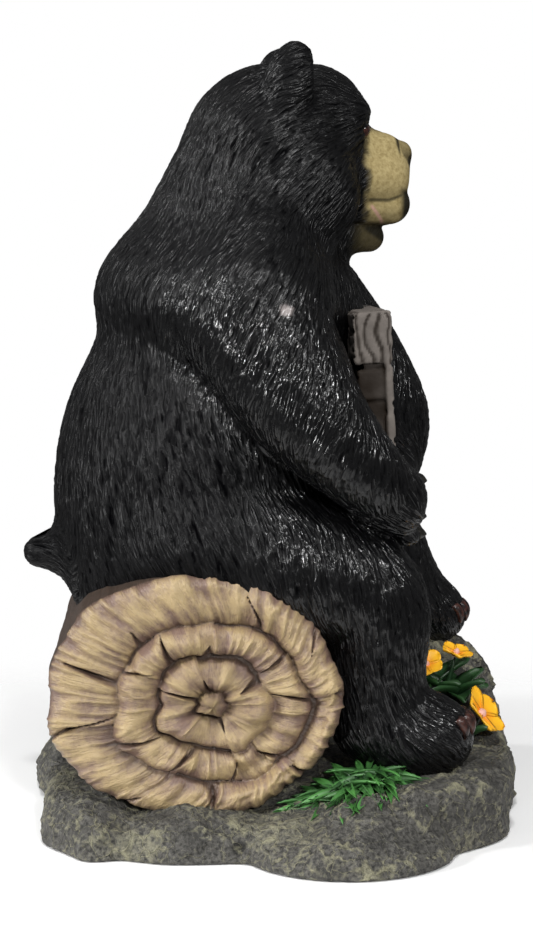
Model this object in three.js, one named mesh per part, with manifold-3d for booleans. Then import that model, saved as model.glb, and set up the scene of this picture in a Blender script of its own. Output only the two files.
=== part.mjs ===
// A bear seated on a sawn log with a plank board in its paws, cast as one piece with its rock base.
// Millimetres, +Z up. The bear looks along -Y, its left is +X, and the underside rests on Z = 0.
import * as THREE from 'three';
import { MarchingCubes } from 'three/addons/objects/MarchingCubes.js';
import { SimplifyModifier } from 'three/addons/modifiers/SimplifyModifier.js';
import { mergeVertices } from 'three/addons/utils/BufferGeometryUtils.js';
import loadManifold from 'manifold-3d';

// Sampling of the bear's body
const BODY_CUBE = 252;
const BODY_CUBE_MIDDLE_UP = 133;
const BODY_CELLS = 128;
const BODY_VERTICES = 2000;

// Log, with its axis along X
const LOG_HALF_LENGTH = 56;
const LOG_FORWARD = -25;
const LOG_UP = 48.5;
const LOG_RADIUS_FORWARD = 45.8;
const LOG_RADIUS_UP = 37.5;
const LOG_SIDES = 36;
// Radius share and depth below the end's highest ridge, from the knot out to the bark
const RING_PROFILE = [
  [0, 0.6], [0.06, 0.3], [0.085, 2.6], [0.13, 0.6], [0.26, 0], [0.38, 0.6], [0.43, 3],
  [0.48, 0.7], [0.58, 0], [0.66, 0.6], [0.71, 3], [0.76, 0.7], [0.87, 0], [0.96, 1.2], [1, 4.5],
];
const FAR_RING_PROFILE = [[0, 0], [0.4, 0], [0.44, 2], [0.48, 0], [0.93, 0.3], [1, 4]];

// Rock base
const BASE_HALF_ACROSS = 68;
const BASE_HALF_FORWARD = 76.5;
const BASE_FORWARD = 3.5;
const BASE_SQUARENESS = 3.6;
const BASE_SIDES = 48;
const BASE_PROFILE = [[0, 0], [0.97, 0], [1, 5], [0.985, 11], [0.93, 15.5], [0.8, 16], [0.45, 15], [0, 15]];
const BASE_SHOULDER = 5;
const BASE_TOP = 15.5;
const BASE_RISE = 6;
const BASE_DIP = 4.5;

// Ears: side, then the middle's place forward and up
const EARS = [[-1, 6, 236.8], [1, 5, 240]];
const EAR_RADII = [6, 8.2, 12.4];
const EAR_TILT = 0.28;
const EAR_YAW = 0.35;

// Fingers of a paw, one above another
const FINGERS = 4;
const FINGER_LOW = 95;
const FINGER_PITCH = 5.7;

// Plank board, leaning back a little
const BOARD_HALF_WIDTH = 40;
const BOARD_TOP = 166;
const BOARD_BOTTOM = 98;
const BOARD_FRONT = 38;
const BOARD_LEAN = THREE.MathUtils.degToRad(2.6);
const BOARD_FACE_THICKNESS = 2.8;
const PLANK_COUNT = 5;
const TOP_PLANK_HEIGHT = 16.5;
const TOP_PLANK_THICKNESS = 12;
const LOWER_PLANK_HEIGHT = 7.5;
const LOWER_PLANK_THICKNESS = 8;
const LOWER_PLANK_PITCH = 11.6;
const LOWER_PLANK_INSET = 2.5;

// Claws and eyes
const CLAW_RADIUS = 2.3;
const EYE_RADIUS = 2.9;

// Flowers, leaves and grass
const PETALS = 5;
const PETAL_THICKNESS = 1.6;
const STEM_RADIUS = 1.6;
const GRASS_BLADES = 26;

const place = (across, forward, up) => [across, -forward, up];
const mirrored = (side) => (across, forward, up) => place(side * across, forward, up);
const scatter = (seed) => {
  const s = Math.sin(seed * 127.1 + 11.7) * 43758.5453;
  return s - Math.floor(s);
};

// Signed distance to an ellipsoid, tipped about X and turned about Z
function ball([cx, cy, cz], [rx, ry, rz], tilt = 0, yaw = 0) {
  const ct = Math.cos(tilt);
  const st = Math.sin(tilt);
  const cw = Math.cos(yaw);
  const sw = Math.sin(yaw);
  return (x, y, z) => {
    const u = cw * (x - cx) + sw * (y - cy);
    const w = cw * (y - cy) - sw * (x - cx);
    const v = ct * w + st * (z - cz);
    const t = ct * (z - cz) - st * w;
    const near = Math.hypot(u / rx, v / ry, t / rz);
    const slope = Math.hypot(u / (rx * rx), v / (ry * ry), t / (rz * rz));
    return slope < 1e-9 ? -Math.min(rx, ry, rz) : (near * (near - 1)) / slope;
  };
}

// Signed distance to a round-ended cone between two points
function limb(a, b, ra, rb) {
  const axis = [b[0] - a[0], b[1] - a[1], b[2] - a[2]];
  const span = axis[0] ** 2 + axis[1] ** 2 + axis[2] ** 2;
  const taper = ra - rb;
  const flank = span - taper * taper;
  return (x, y, z) => {
    const p = [x - a[0], y - a[1], z - a[2]];
    const along = p[0] * axis[0] + p[1] * axis[1] + p[2] * axis[2];
    const past = along - span;
    const off = (p[0] * span - axis[0] * along) ** 2
      + (p[1] * span - axis[1] * along) ** 2
      + (p[2] * span - axis[2] * along) ** 2;
    const turn = Math.sign(taper) * taper * taper * off;
    if (Math.sign(past) * flank * past * past * span > turn) {
      return Math.sqrt(off + past * past * span) / span - rb;
    }
    if (Math.sign(along) * flank * along * along * span < turn) {
      return Math.sqrt(off + along * along * span) / span - ra;
    }
    return (Math.sqrt((off * flank) / span) + along * taper) / span - ra;
  };
}

// A limb of changing girth along a smooth curve, as a row of short limbs
function tube(stations, stepsPerSpan = 3) {
  const centres = stations.map(([point]) => new THREE.Vector3(...point));
  const girths = stations.map(([, radius], i) => new THREE.Vector3(radius, 0, i));
  const spine = new THREE.CatmullRomCurve3(centres, false, 'catmullrom', 0.5);
  const girth = new THREE.CatmullRomCurve3(girths, false, 'catmullrom', 0.5);
  const steps = (stations.length - 1) * stepsPerSpan;
  const pieces = [];
  for (let i = 0; i < steps; i += 1) {
    const from = spine.getPoint(i / steps).toArray();
    const to = spine.getPoint((i + 1) / steps).toArray();
    pieces.push(limb(from, to, girth.getPoint(i / steps).x, girth.getPoint((i + 1) / steps).x));
  }
  return (x, y, z) => pieces.reduce((d, piece) => Math.min(d, piece(x, y, z)), Infinity);
}

// Soft union, soft cut, and a group of soft lumps, each with its own blend width
const join = (a, b, blend) => {
  const h = Math.max(blend - Math.abs(a - b), 0) / blend;
  return Math.min(a, b) - 0.25 * blend * h * h;
};
const carve = (a, tool, blend) => -join(-a, tool, blend);
const group = (lumps) => (x, y, z) => (
  lumps.reduce((d, [shape, blend]) => join(d, shape(x, y, z), blend), 1e6)
);

function headShape() {
  const lumps = [
    [ball(place(0, 2, 219.2), [31, 26, 25.2]), 8],
    [ball(place(0, 16.5, 227.2), [21, 15.5, 16]), 8],
  ];
  const hollows = [];
  for (const [side, earForward, earUp] of EARS) {
    const at = mirrored(side);
    lumps.push([ball(at(19, 13, 202), [14, 15.5, 16.5]), 9]);
    lumps.push([ball(at(11.5, 23, 220.5), [9, 8, 8]), 4]);
    lumps.push([ball(at(11, 24, 228.5), [8.5, 8, 5]), 5]);
    const hollow = at(25.5, earForward + 9.5, earUp + 3.2);
    lumps.push([ball(at(25, earForward, earUp), EAR_RADII, EAR_TILT, side * EAR_YAW), 3]);
    hollows.push([ball(hollow, [3.6, 5, 6.6], EAR_TILT, side * EAR_YAW), 2]);
    hollows.push([ball(at(13, 33.4, 222.6), [4.6, 3.4, 3]), 1.5]);
    hollows.push([ball(at(3.7, 48, 213.8), [1.9, 1.7, 1.4]), 0.8]);
  }
  lumps.push([limb(place(0, 20, 210.8), place(0, 36, 212), 15.5, 11), 4]);
  for (const side of [-1, 1]) {
    const at = mirrored(side);
    lumps.push([limb(at(9, 25, 207), at(4.6, 37.2, 206.8), 9.6, 8.9), 2.5]);
    lumps.push([limb(at(8, 27, 199.6), at(4.2, 40, 199.6), 6.2, 6.6), 0.9]);
  }
  lumps.push([limb(place(0, 24, 199), place(0, 38, 199), 7, 6.4), 0.9]);
  lumps.push([limb(place(0, 14, 195.5), place(0, 33.6, 189), 12, 5), 1.4]);
  lumps.push([ball(place(0, 43.9, 215.6), [6.5, 3.7, 4.5]), 0.9]);
  const solid = group(lumps);
  return (x, y, z) => hollows.reduce((d, [tool, blend]) => carve(d, tool(x, y, z), blend), solid(x, y, z));
}

function trunkShape() {
  return group([
    [ball(place(0, -19, 104), [48, 51, 72]), 6],
    [limb(place(0, -1, 213), place(0, -13.5, 172), 26.5, 35), 7],
    [limb(place(-14, -2, 198), place(-34, -5, 167), 18, 23), 8],
    [limb(place(14, -2, 198), place(34, 2, 167), 18, 23), 8],
    [ball(place(0, -15, 167), [45, 40.5, 23], 0.12), 13],
    [ball(place(4, 6, 160), [34, 26, 30]), 8],
    [limb(place(0, -54, 86), place(0, -75.5, 85.3), 11.5, 4.8), 6],
  ]);
}

function armShape() {
  const right = tube([
    [place(-35, -7, 164), 23], [place(-43, 3, 147), 20], [place(-46.5, 12, 133), 16.5],
    [place(-45, 26, 118), 12.6], [place(-39.5, 36, 108), 11],
  ]);
  const left = tube([
    [place(36, 13, 163), 24], [place(43, 29.5, 146), 20.5], [place(46, 42.5, 127), 17.4],
    [place(43.5, 45, 113), 13], [place(39, 42.5, 106), 11],
  ]);
  const lumps = [[right, 5], [left, 5]];
  for (const side of [-1, 1]) {
    const at = mirrored(side);
    lumps.push([ball(at(37, 40, 105.5), [9, 7.5, 10.5]), 4]);
    lumps.push([ball(at(37.5, 33, 116), [5, 6, 11]), 3]);
    for (let finger = 0; finger < FINGERS; finger += 1) {
      lumps.push([ball(at(33.5, 42.2, FINGER_LOW + FINGER_PITCH * finger), [7, 4.6, 3]), 1.2]);
    }
  }
  return group(lumps);
}

const FEET = [
  { side: -1, across: 36, forward: 45, up: 30.5, radii: [15, 19, 15], toe: 57, toeUp: 34 },
  { side: 1, across: 37, forward: 59, up: 56.5, radii: [13, 14, 11.5], toe: 66.5, toeUp: 56.5 },
];
const TOES = 5;
const toePlace = ({ side, across, toe, toeUp }, i) => {
  const spread = i - (TOES - 1) / 2;
  return place(side * (across + 4.7 * spread), toe - 0.9 * spread * spread, toeUp);
};

function legShape() {
  const right = tube([
    [place(-26, -24, 92), 26], [place(-31, 4, 86), 24.5], [place(-34, 30, 74.5), 18.8],
    [place(-35, 33, 54), 15.6], [place(-35, 33.5, 36), 15],
  ]);
  const left = tube([
    [place(26, -24, 92), 26], [place(31, 8, 90), 24.5], [place(34, 35.5, 82.5), 19.5],
    [place(35.5, 45.5, 71), 16], [place(36, 53, 62), 13.5],
  ]);
  const lumps = [[right, 6], [left, 6]];
  for (const foot of FEET) {
    lumps.push([ball(place(foot.side * foot.across, foot.forward, foot.up), foot.radii), 5]);
    for (let i = 0; i < TOES; i += 1) {
      lumps.push([ball(toePlace(foot, i), [3.2, 6, 6.5]), 1.5]);
    }
  }
  return group(lumps);
}

const TRUNK = trunkShape();
const HEAD = headShape();
const LEGS = legShape();
const ARMS = armShape();

function bearShape(x, y, z) {
  const bulk = join(TRUNK(x, y, z), HEAD(x, y, z), 6);
  return join(join(bulk, LEGS(x, y, z), 4), ARMS(x, y, z), 3);
}

// Keeps only the positions, welds them and drops triangles with no area
function welded(geometry) {
  const bare = new THREE.BufferGeometry();
  bare.setAttribute('position', geometry.getAttribute('position').clone());
  if (geometry.index) {
    bare.setIndex(geometry.index.clone());
  }
  const joined = mergeVertices(bare, 1e-3);
  const kept = [];
  for (let i = 0; i < joined.index.count; i += 3) {
    const [a, b, c] = [0, 1, 2].map((k) => joined.index.getX(i + k));
    if (a !== b && b !== c && c !== a) {
      kept.push(a, b, c);
    }
  }
  joined.setIndex(kept);
  return joined;
}

async function polygonise(shape) {
  const cubes = new MarchingCubes(BODY_CELLS, new THREE.Material(), false, false, 160000);
  const half = BODY_CELLS / 2;
  const scale = BODY_CUBE / 2;
  cubes.isolation = 0;
  for (let k = 0; k < BODY_CELLS; k += 1) {
    for (let j = 0; j < BODY_CELLS; j += 1) {
      for (let i = 0; i < BODY_CELLS; i += 1) {
        const x = ((i - half) / half) * scale;
        const y = ((j - half) / half) * scale;
        const z = ((k - half) / half) * scale + BODY_CUBE_MIDDLE_UP;
        const depth = -shape(x, y, z);
        cubes.field[(k * BODY_CELLS + j) * BODY_CELLS + i] = Math.abs(depth) < 0.02 ? 0.02 : depth;
      }
    }
  }
  cubes.update();
  const skin = new THREE.BufferGeometry();
  skin.setAttribute('position', new THREE.BufferAttribute(cubes.positionArray.slice(0, cubes.count * 3), 3));
  skin.scale(scale, scale, scale);
  skin.translate(0, 0, BODY_CUBE_MIDDLE_UP);
  const fine = welded(skin);
  return new SimplifyModifier().modify(fine, fine.getAttribute('position').count - BODY_VERTICES);
}

// A closed lathe body whose points are then moved by a function of radius share, angle and height
function lathed(profile, sides, move) {
  const points = profile.map(([share, height]) => new THREE.Vector2(share, height));
  const body = welded(new THREE.LatheGeometry(points, sides));
  const at = body.getAttribute('position');
  for (let i = 0; i < at.count; i += 1) {
    const share = Math.hypot(at.getX(i), at.getZ(i));
    const angle = Math.atan2(at.getZ(i), at.getX(i));
    at.setXYZ(i, ...move(share, angle, at.getY(i)));
  }
  return body;
}

function logGeometry() {
  const near = RING_PROFILE.map(([share, depth]) => [share, depth - LOG_HALF_LENGTH]);
  const bark = [-0.5, 0, 0.5].map((s) => [1.01 - 0.02 * Math.abs(s), s * LOG_HALF_LENGTH]);
  const far = FAR_RING_PROFILE.map(([share, depth]) => [share, LOG_HALF_LENGTH - depth]).reverse();
  return lathed([...near, ...bark, ...far], LOG_SIDES, (share, angle, along) => {
    const scallop = 1 + 0.014 * Math.cos(5 * angle + 0.7) + 0.01 * Math.cos(11 * angle);
    const wave = 0.5 * Math.sin(7 * angle + 9 * share) * Math.min(1, 3 * share);
    const forward = LOG_FORWARD + LOG_RADIUS_FORWARD * share * scallop * Math.cos(angle);
    const up = LOG_UP + LOG_RADIUS_UP * share * scallop * Math.sin(angle);
    return place(along + wave, forward, up);
  });
}

// How far the base's top stands above its usual height: up towards the front, down beside the log
function baseRise(across, forward) {
  const front = THREE.MathUtils.smoothstep(forward, -12, 52);
  const beside = THREE.MathUtils.smoothstep(-across, 40, 52);
  return BASE_RISE * front - BASE_DIP * beside * (1 - THREE.MathUtils.smoothstep(forward, -12, 30));
}

function baseGeometry() {
  return lathed(BASE_PROFILE, BASE_SIDES, (share, angle, height) => {
    const c = Math.cos(angle);
    const s = Math.sin(angle);
    const reach = Math.abs(c) ** BASE_SQUARENESS + Math.abs(s) ** BASE_SQUARENESS;
    const square = reach ** (-1 / BASE_SQUARENESS);
    const rough = 1 + 0.016 * Math.cos(7 * angle + 0.6) + 0.012 * Math.cos(13 * angle + 2 + 0.2 * height);
    const across = BASE_HALF_ACROSS * share * square * rough * s;
    const forward = BASE_FORWARD + BASE_HALF_FORWARD * share * square * rough * c;
    const top = Math.max(0, height - BASE_SHOULDER) / (BASE_TOP - BASE_SHOULDER);
    const wave = 1.1 * Math.sin(4 * angle + 9 * share) * share;
    return place(across, forward, height + top * (wave + baseRise(across, forward)));
  });
}

// Boulders of the base: across, forward, up, then half sizes across, forward, up
const BOULDERS = [
  [40, 62, 15.5, 29, 26, 35], [8, 67, 9, 22, 16, 24], [-24, 57, 3, 26, 18, 15], [-58, 22, 0, 30, 34, 16],
  [22, -61, 4, 36, 18, 19], [-42, -55, 3, 24, 18, 14], [52, -26, 4, 19, 36, 15], [52, 22, 6, 20, 26, 17],
  [-52, -24, 1, 18, 28, 13],
];

function boulderGeometry([across, forward, up, halfAcross, halfForward, halfUp], seed) {
  const stone = welded(new THREE.IcosahedronGeometry(1, 1));
  const at = stone.getAttribute('position');
  for (let i = 0; i < at.count; i += 1) {
    const swell = 0.86 + 0.22 * scatter(seed * 57 + i);
    at.setXYZ(i, at.getX(i) * swell, at.getY(i) * swell, at.getZ(i) * swell);
  }
  stone.rotateZ(2.4 * seed);
  stone.scale(halfAcross, halfForward, halfUp);
  stone.translate(...place(across, forward, up));
  return stone;
}

function boardPieces() {
  const pieces = [];
  const middle = (BOARD_TOP + BOARD_BOTTOM) / 2;
  const add = (width, back, front, low, high) => {
    const box = new THREE.BoxGeometry(width, front - back, high - low);
    box.translate(0, -(back + front) / 2, (low + high) / 2 - middle);
    box.rotateX(-BOARD_LEAN);
    box.translate(0, -BOARD_FRONT, middle);
    pieces.push(box);
  };
  add(2 * BOARD_HALF_WIDTH, -BOARD_FACE_THICKNESS, 0, BOARD_BOTTOM, BOARD_TOP);
  add(2 * BOARD_HALF_WIDTH, -TOP_PLANK_THICKNESS, -1, BOARD_TOP - TOP_PLANK_HEIGHT, BOARD_TOP - 0.4);
  add(2 * (BOARD_HALF_WIDTH - 4), -LOWER_PLANK_THICKNESS + 2, -1, BOARD_BOTTOM + 1, BOARD_TOP - 2);
  for (let i = 1; i < PLANK_COUNT; i += 1) {
    const high = BOARD_TOP - TOP_PLANK_HEIGHT - LOWER_PLANK_PITCH * i + LOWER_PLANK_HEIGHT - 2.4;
    const inset = LOWER_PLANK_INSET * scatter(i);
    add(2 * (BOARD_HALF_WIDTH - inset), -LOWER_PLANK_THICKNESS, -1, high - LOWER_PLANK_HEIGHT, high);
  }
  return pieces;
}

// A pointed few-sided cone from one point towards another, flattened by a share
function spike(from, to, radius, sides, flat = 1) {
  const start = new THREE.Vector3(...from);
  const way = new THREE.Vector3(...to).sub(start);
  const cone = new THREE.ConeGeometry(radius, way.length(), sides);
  cone.scale(1, 1, flat);
  cone.translate(0, way.length() / 2, 0);
  const turn = new THREE.Quaternion().setFromUnitVectors(new THREE.Vector3(0, 1, 0), way.normalize());
  cone.applyQuaternion(turn);
  cone.translate(...from);
  return cone;
}

function clawPieces() {
  const pieces = [];
  for (const foot of FEET) {
    for (let i = 0; i < TOES; i += 1) {
      const [x, y, z] = toePlace(foot, i);
      pieces.push(spike([x, y - 4, z + 4.2], [x, y - 7, z - 3], CLAW_RADIUS, 6));
    }
  }
  for (const side of [-1, 1]) {
    const at = mirrored(side);
    for (let finger = 0; finger < FINGERS; finger += 1) {
      const up = FINGER_LOW + FINGER_PITCH * finger;
      pieces.push(spike(at(33, 43, up + 0.4), at(31, 50, up - 0.6), CLAW_RADIUS, 6));
    }
  }
  return pieces;
}

function eyePieces() {
  return [-1, 1].map((side) => {
    const eye = new THREE.SphereGeometry(EYE_RADIUS, 10, 8);
    eye.translate(...mirrored(side)(12.4, 29.6, 222.6));
    return eye;
  });
}

// Flowers: centre across, forward, up, petal length, and how far each leans forward
const FLOWERS = [
  [5, 54.5, 44.5, 8, 0.3], [9, 65.5, 47, 8, 0.3], [-8, 71.5, 30.5, 10.5, 0.9],
];

function flowerPieces([across, forward, up, length, lean]) {
  const outline = new THREE.EllipseCurve(length * 0.55, 0, length * 0.5, length * 0.3, 0, 2 * Math.PI);
  const shape = new THREE.Shape(outline.getPoints(7));
  const petal = new THREE.ExtrudeGeometry(shape, { depth: PETAL_THICKNESS, bevelEnabled: false });
  const pieces = [];
  for (let i = 0; i < PETALS; i += 1) {
    const one = petal.clone();
    one.rotateY(-0.25);
    one.rotateZ((2 * Math.PI * i) / PETALS);
    pieces.push(one);
  }
  const heart = new THREE.SphereGeometry(length * 0.24, 6, 4);
  heart.translate(0, 0, 1.2);
  pieces.push(heart);
  for (const piece of pieces) {
    piece.rotateX(lean);
    piece.translate(...place(across, forward, up));
  }
  pieces.push(spike(place(across + 4, forward - 6, 6), place(across, forward, up + 3), 2 * STEM_RADIUS, 6));
  return pieces;
}

// Leaves under the flowers: root, then tip, each across, forward, up
const LEAVES = [
  [[22, 56, 30], [4, 58, 52]], [[24, 60, 34], [16, 72, 50]], [[6, 60, 14], [-4, 62, 42]],
  [[2, 62, 20], [-10, 76, 27]], [[-8, 60, 12], [-20, 72, 24]], [[-14, 60, 10], [-30, 69, 21]],
];

function plantPieces() {
  const pieces = FLOWERS.flatMap(flowerPieces);
  for (const [root, tip] of LEAVES) {
    pieces.push(spike(place(...root), place(...tip), 4, 6, 0.45));
  }
  for (let i = 0; i < GRASS_BLADES; i += 1) {
    const across = -58 + 14 * scatter(i + 3);
    const forward = 8 + 36 * scatter(i + 41);
    const ground = BASE_TOP + baseRise(across, forward);
    const heading = 2 * Math.PI * scatter(i + 77);
    const reach = 5 + 4 * scatter(i + 19);
    const root = place(across, forward, ground - 4);
    const toTip = [across - 3 + reach * Math.cos(heading), forward + reach * Math.sin(heading)];
    pieces.push(spike(root, place(...toTip, ground + 3 + 4 * scatter(i)), 2, 4, 0.5));
  }
  return pieces;
}

const solids = await loadManifold();
solids.setup();
const { Manifold, Mesh } = solids;

function toSolid(geometry) {
  const clean = welded(geometry);
  const mesh = new Mesh({
    numProp: 3,
    vertProperties: new Float32Array(clean.getAttribute('position').array),
    triVerts: new Uint32Array(clean.index.array),
  });
  const solid = new Manifold(mesh);
  if (solid.volume() > 0) {
    return solid;
  }
  for (let i = 0; i < mesh.triVerts.length; i += 3) {
    [mesh.triVerts[i], mesh.triVerts[i + 1]] = [mesh.triVerts[i + 1], mesh.triVerts[i]];
  }
  return new Manifold(mesh);
}

const body = await polygonise(bearShape);
const pieces = [
  body, logGeometry(), baseGeometry(), ...BOULDERS.map(boulderGeometry), ...boardPieces(),
  ...clawPieces(), ...eyePieces(), ...plantPieces(),
];
const below = new THREE.BoxGeometry(400, 400, 100);
below.translate(0, 0, -50);
const cast = Manifold.union(pieces.map(toSolid)).subtract(toSolid(below));

function toGeometry(solid) {
  const mesh = solid.getMesh();
  const geometry = new THREE.BufferGeometry();
  geometry.setAttribute('position', new THREE.BufferAttribute(new Float32Array(mesh.vertProperties), 3));
  geometry.setIndex(Array.from(mesh.triVerts));
  return geometry;
}

const resin = new THREE.MeshStandardMaterial({ color: 0x2a2723, roughness: 0.5, metalness: 0 });
const figurine = new THREE.Mesh(toGeometry(cast), resin);
figurine.name = 'bear_figurine';

const model = new THREE.Group();
model.add(figurine);
export default model;
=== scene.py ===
"""Looks of a painted cast-resin bear that sits on a sawn log and holds a plank board."""

import math

import bpy
import numpy as np
from bpy.props import FloatProperty, FloatVectorProperty, IntProperty, PointerProperty
from mathutils import Matrix, Vector


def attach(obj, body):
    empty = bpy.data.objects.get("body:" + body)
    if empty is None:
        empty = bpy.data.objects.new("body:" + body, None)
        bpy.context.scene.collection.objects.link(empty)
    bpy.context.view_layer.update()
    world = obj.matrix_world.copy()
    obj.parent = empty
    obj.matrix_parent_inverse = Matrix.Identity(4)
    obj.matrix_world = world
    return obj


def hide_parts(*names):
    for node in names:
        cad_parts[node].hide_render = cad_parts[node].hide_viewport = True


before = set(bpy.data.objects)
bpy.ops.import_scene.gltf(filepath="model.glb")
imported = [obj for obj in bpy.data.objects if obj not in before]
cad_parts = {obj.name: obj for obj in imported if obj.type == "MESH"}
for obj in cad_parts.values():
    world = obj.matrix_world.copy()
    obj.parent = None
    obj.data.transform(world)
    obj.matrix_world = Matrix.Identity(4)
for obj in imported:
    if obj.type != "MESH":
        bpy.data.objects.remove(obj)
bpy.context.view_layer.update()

bl_info = {
    "name": "Cast Bear Figurine",
    "version": (1, 0, 0),
    "blender": (4, 5, 0),
    "location": "View3D > Sidebar > Figurine",
    "description": "Builds a cast-resin bear on a log from soft lumps, carved fur and procedural paint",
    "category": "Add Mesh",
}

MM = 0.001
NODE = "bear_figurine"
SEED = 7


def linear(hex_colour):
    """sRGB hex to the linear colour that shaders take."""
    parts = [int(hex_colour[i:i + 2], 16) / 255 for i in (1, 3, 5)]
    return tuple(c / 12.92 if c <= 0.04045 else ((c + 0.055) / 1.055) ** 2.4 for c in parts) + (1.0,)


def size_in_mm(name, text, default):
    return FloatProperty(name=name, description=text + ", in millimetres", default=default, min=0.01)


def paint(name, text, hex_colour):
    return FloatVectorProperty(
        name=name, description=text, subtype="COLOR", size=4, min=0, max=1, default=linear(hex_colour))


class FigurineSizes(bpy.types.PropertyGroup):
    """Sizes of the relief, in millimetres."""
    body_cell: size_in_mm("Body cell", "Spacing of the bear's surface points", 0.74)
    head_cell: size_in_mm("Head cell", "Spacing of the head's surface points", 0.565)
    strand_width: size_in_mm("Strand width", "Width of a carved tuft of fur", 2.8)
    strand_length: size_in_mm("Strand length", "Length of a carved tuft of fur", 10.5)
    strand_height: size_in_mm("Strand height", "Height of a carved tuft of fur", 0.7)
    rock_cell: size_in_mm("Rock cell", "Spacing of the rock's surface points", 1.25)
    grass_blades: IntProperty(
        name="Grass blades", description="Blades in the clump beside the foot", default=560, min=1)


class FigurineColours(bpy.types.PropertyGroup):
    """Paint colours."""
    fur_ridge: paint("Fur ridge", "Black paint on the raised tufts", "#0c0c0d")
    fur_groove: paint("Fur groove", "Black paint between the tufts", "#030304")
    muzzle: paint("Muzzle", "Tan paint of the muzzle", "#a3946a")
    muzzle_shade: paint("Muzzle shade", "Brown wash on the muzzle", "#74643f")
    lip_dark: paint("Lip", "Dark paint of nose, lip front and jaw", "#24221b")
    mouth: paint("Mouth", "Pink paint inside the mouth", "#c0958a")
    scuff: paint("Scuff", "Bare resin of the scuff on the shoulder", "#8f8785")
    claw: paint("Claw", "Red-brown paint of the claws", "#4a2a22")
    log_ridge: paint("Log ridge", "Ochre paint on the rings' ridges", "#a38e68")
    log_mid: paint("Log side", "Mauve-brown paint on the rings' sides", "#745e53")
    # Dark brown for the painted shade in the rings' grooves and cracks and for flecks on the bark
    log_shade_and_bark_brown: paint("Log groove", "Dark wash in the rings' grooves", "#43342a")
    bark: paint("Bark", "Dark paint of the bark", "#2a2520")
    rock: paint("Rock", "Grey-brown paint of the rock", "#5a5853")
    rock_groove: paint("Rock groove", "Dark wash in the rock's cracks", "#1f1e1b")
    rock_edge: paint("Rock edge", "Olive dry-brushing on the rock's edges", "#85826a")
    board: paint("Board", "Weathered grey paint of the planks", "#625c57")
    # Dark brown for the wash in the planks' grain and joints and for the painted shade on the low planks'
    # ends
    board_groove_and_shade: paint("Board groove", "Dark wash in the planks' grain", "#1d150d")
    grass: paint("Grass", "Green paint of the grass", "#4a833f")
    grass_dark: paint("Grass shade", "Dark green paint at the blades' roots", "#0e2812")
    petal: paint("Petal", "Yellow paint of the petals", "#f3b521")
    petal_root: paint("Petal root", "Orange paint at the petals' roots", "#e08a17")
    petal_heart: paint("Flower heart", "Pale pink paint of the flowers' hearts", "#d9a79a")


# Forms of the cast, as signed distances in millimetres

def place(across, forward, up):
    return np.array([across, -forward, up], dtype=float)


class Form:
    """A signed-distance function with the box outside which it doesn't matter."""

    def __init__(self, distance, low, high):
        self.distance = distance
        self.low = np.asarray(low, dtype=float)
        self.high = np.asarray(high, dtype=float)


def ball(centre, radii, tilt=0.0, yaw=0.0):
    """An ellipsoid, tipped about X and turned about Z."""
    ct, st, cw, sw = math.cos(tilt), math.sin(tilt), math.cos(yaw), math.sin(yaw)
    rx, ry, rz = radii

    def distance(x, y, z):
        u = cw * (x - centre[0]) + sw * (y - centre[1])
        w = cw * (y - centre[1]) - sw * (x - centre[0])
        v = ct * w + st * (z - centre[2])
        t = ct * (z - centre[2]) - st * w
        near = np.sqrt((u / rx) ** 2 + (v / ry) ** 2 + (t / rz) ** 2)
        slope = np.sqrt((u / rx ** 2) ** 2 + (v / ry ** 2) ** 2 + (t / rz ** 2) ** 2)
        return near * (near - 1) / np.maximum(slope, 1e-6)

    reach = max(radii)
    return Form(distance, centre - reach, centre + reach)


def limb(a, b, ra, rb):
    """A round-ended cone between two points."""
    axis = b - a
    span = float(axis @ axis)
    taper = ra - rb
    flank = span - taper * taper

    def distance(x, y, z):
        px, py, pz = x - a[0], y - a[1], z - a[2]
        along = px * axis[0] + py * axis[1] + pz * axis[2]
        past = along - span
        off = (px * span - axis[0] * along) ** 2
        off += (py * span - axis[1] * along) ** 2
        off += (pz * span - axis[2] * along) ** 2
        turn = math.copysign(1, taper) * taper * taper * off
        side = (np.sqrt(np.maximum(off * flank / span, 0)) + along * taper) / span - ra
        end_a = np.sqrt(off + along ** 2 * span) / span - ra
        end_b = np.sqrt(off + past ** 2 * span) / span - rb
        out = np.where(np.sign(along) * flank * along ** 2 * span < turn, end_a, side)
        return np.where(np.sign(past) * flank * past ** 2 * span > turn, end_b, out)

    reach = max(ra, rb)
    return Form(distance, np.minimum(a, b) - reach, np.maximum(a, b) + reach)


def smooth_curve(stations, t):
    """Point and girth of a Catmull-Rom curve through [(point, radius), ...] at t from 0 to 1."""
    rows = [np.append(point, radius) for point, radius in stations]
    rows = [2 * rows[0] - rows[1]] + rows + [2 * rows[-1] - rows[-2]]
    s = t * (len(stations) - 1)
    i = min(int(s), len(stations) - 2)
    w = s - i
    p0, p1, p2, p3 = rows[i:i + 4]
    m1, m2 = (p2 - p0) / 2, (p3 - p1) / 2
    q = (2 * w ** 3 - 3 * w ** 2 + 1) * p1 + (w ** 3 - 2 * w ** 2 + w) * m1
    q += (3 * w ** 2 - 2 * w ** 3) * p2 + (w ** 3 - w ** 2) * m2
    return q[:3], q[3]


def tube(stations, steps_per_span=3):
    """A limb of changing girth along a smooth curve, as a row of short limbs."""
    steps = (len(stations) - 1) * steps_per_span
    marks = [smooth_curve(stations, i / steps) for i in range(steps + 1)]
    parts = [limb(marks[i][0], marks[i + 1][0], marks[i][1], marks[i + 1][1]) for i in range(steps)]

    def distance(x, y, z):
        out = parts[0].distance(x, y, z)
        for part in parts[1:]:
            out = np.minimum(out, part.distance(x, y, z))
        return out

    return Form(distance, np.min([p.low for p in parts], 0), np.max([p.high for p in parts], 0))


def join(a, b, blend):
    h = np.maximum(blend - np.abs(a - b), 0) / blend
    return np.minimum(a, b) - 0.25 * blend * h * h


def carve(a, tool, blend):
    return -join(-a, tool, blend)


EAR_TILT = 0.28
EAR_YAW = 0.35
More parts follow.
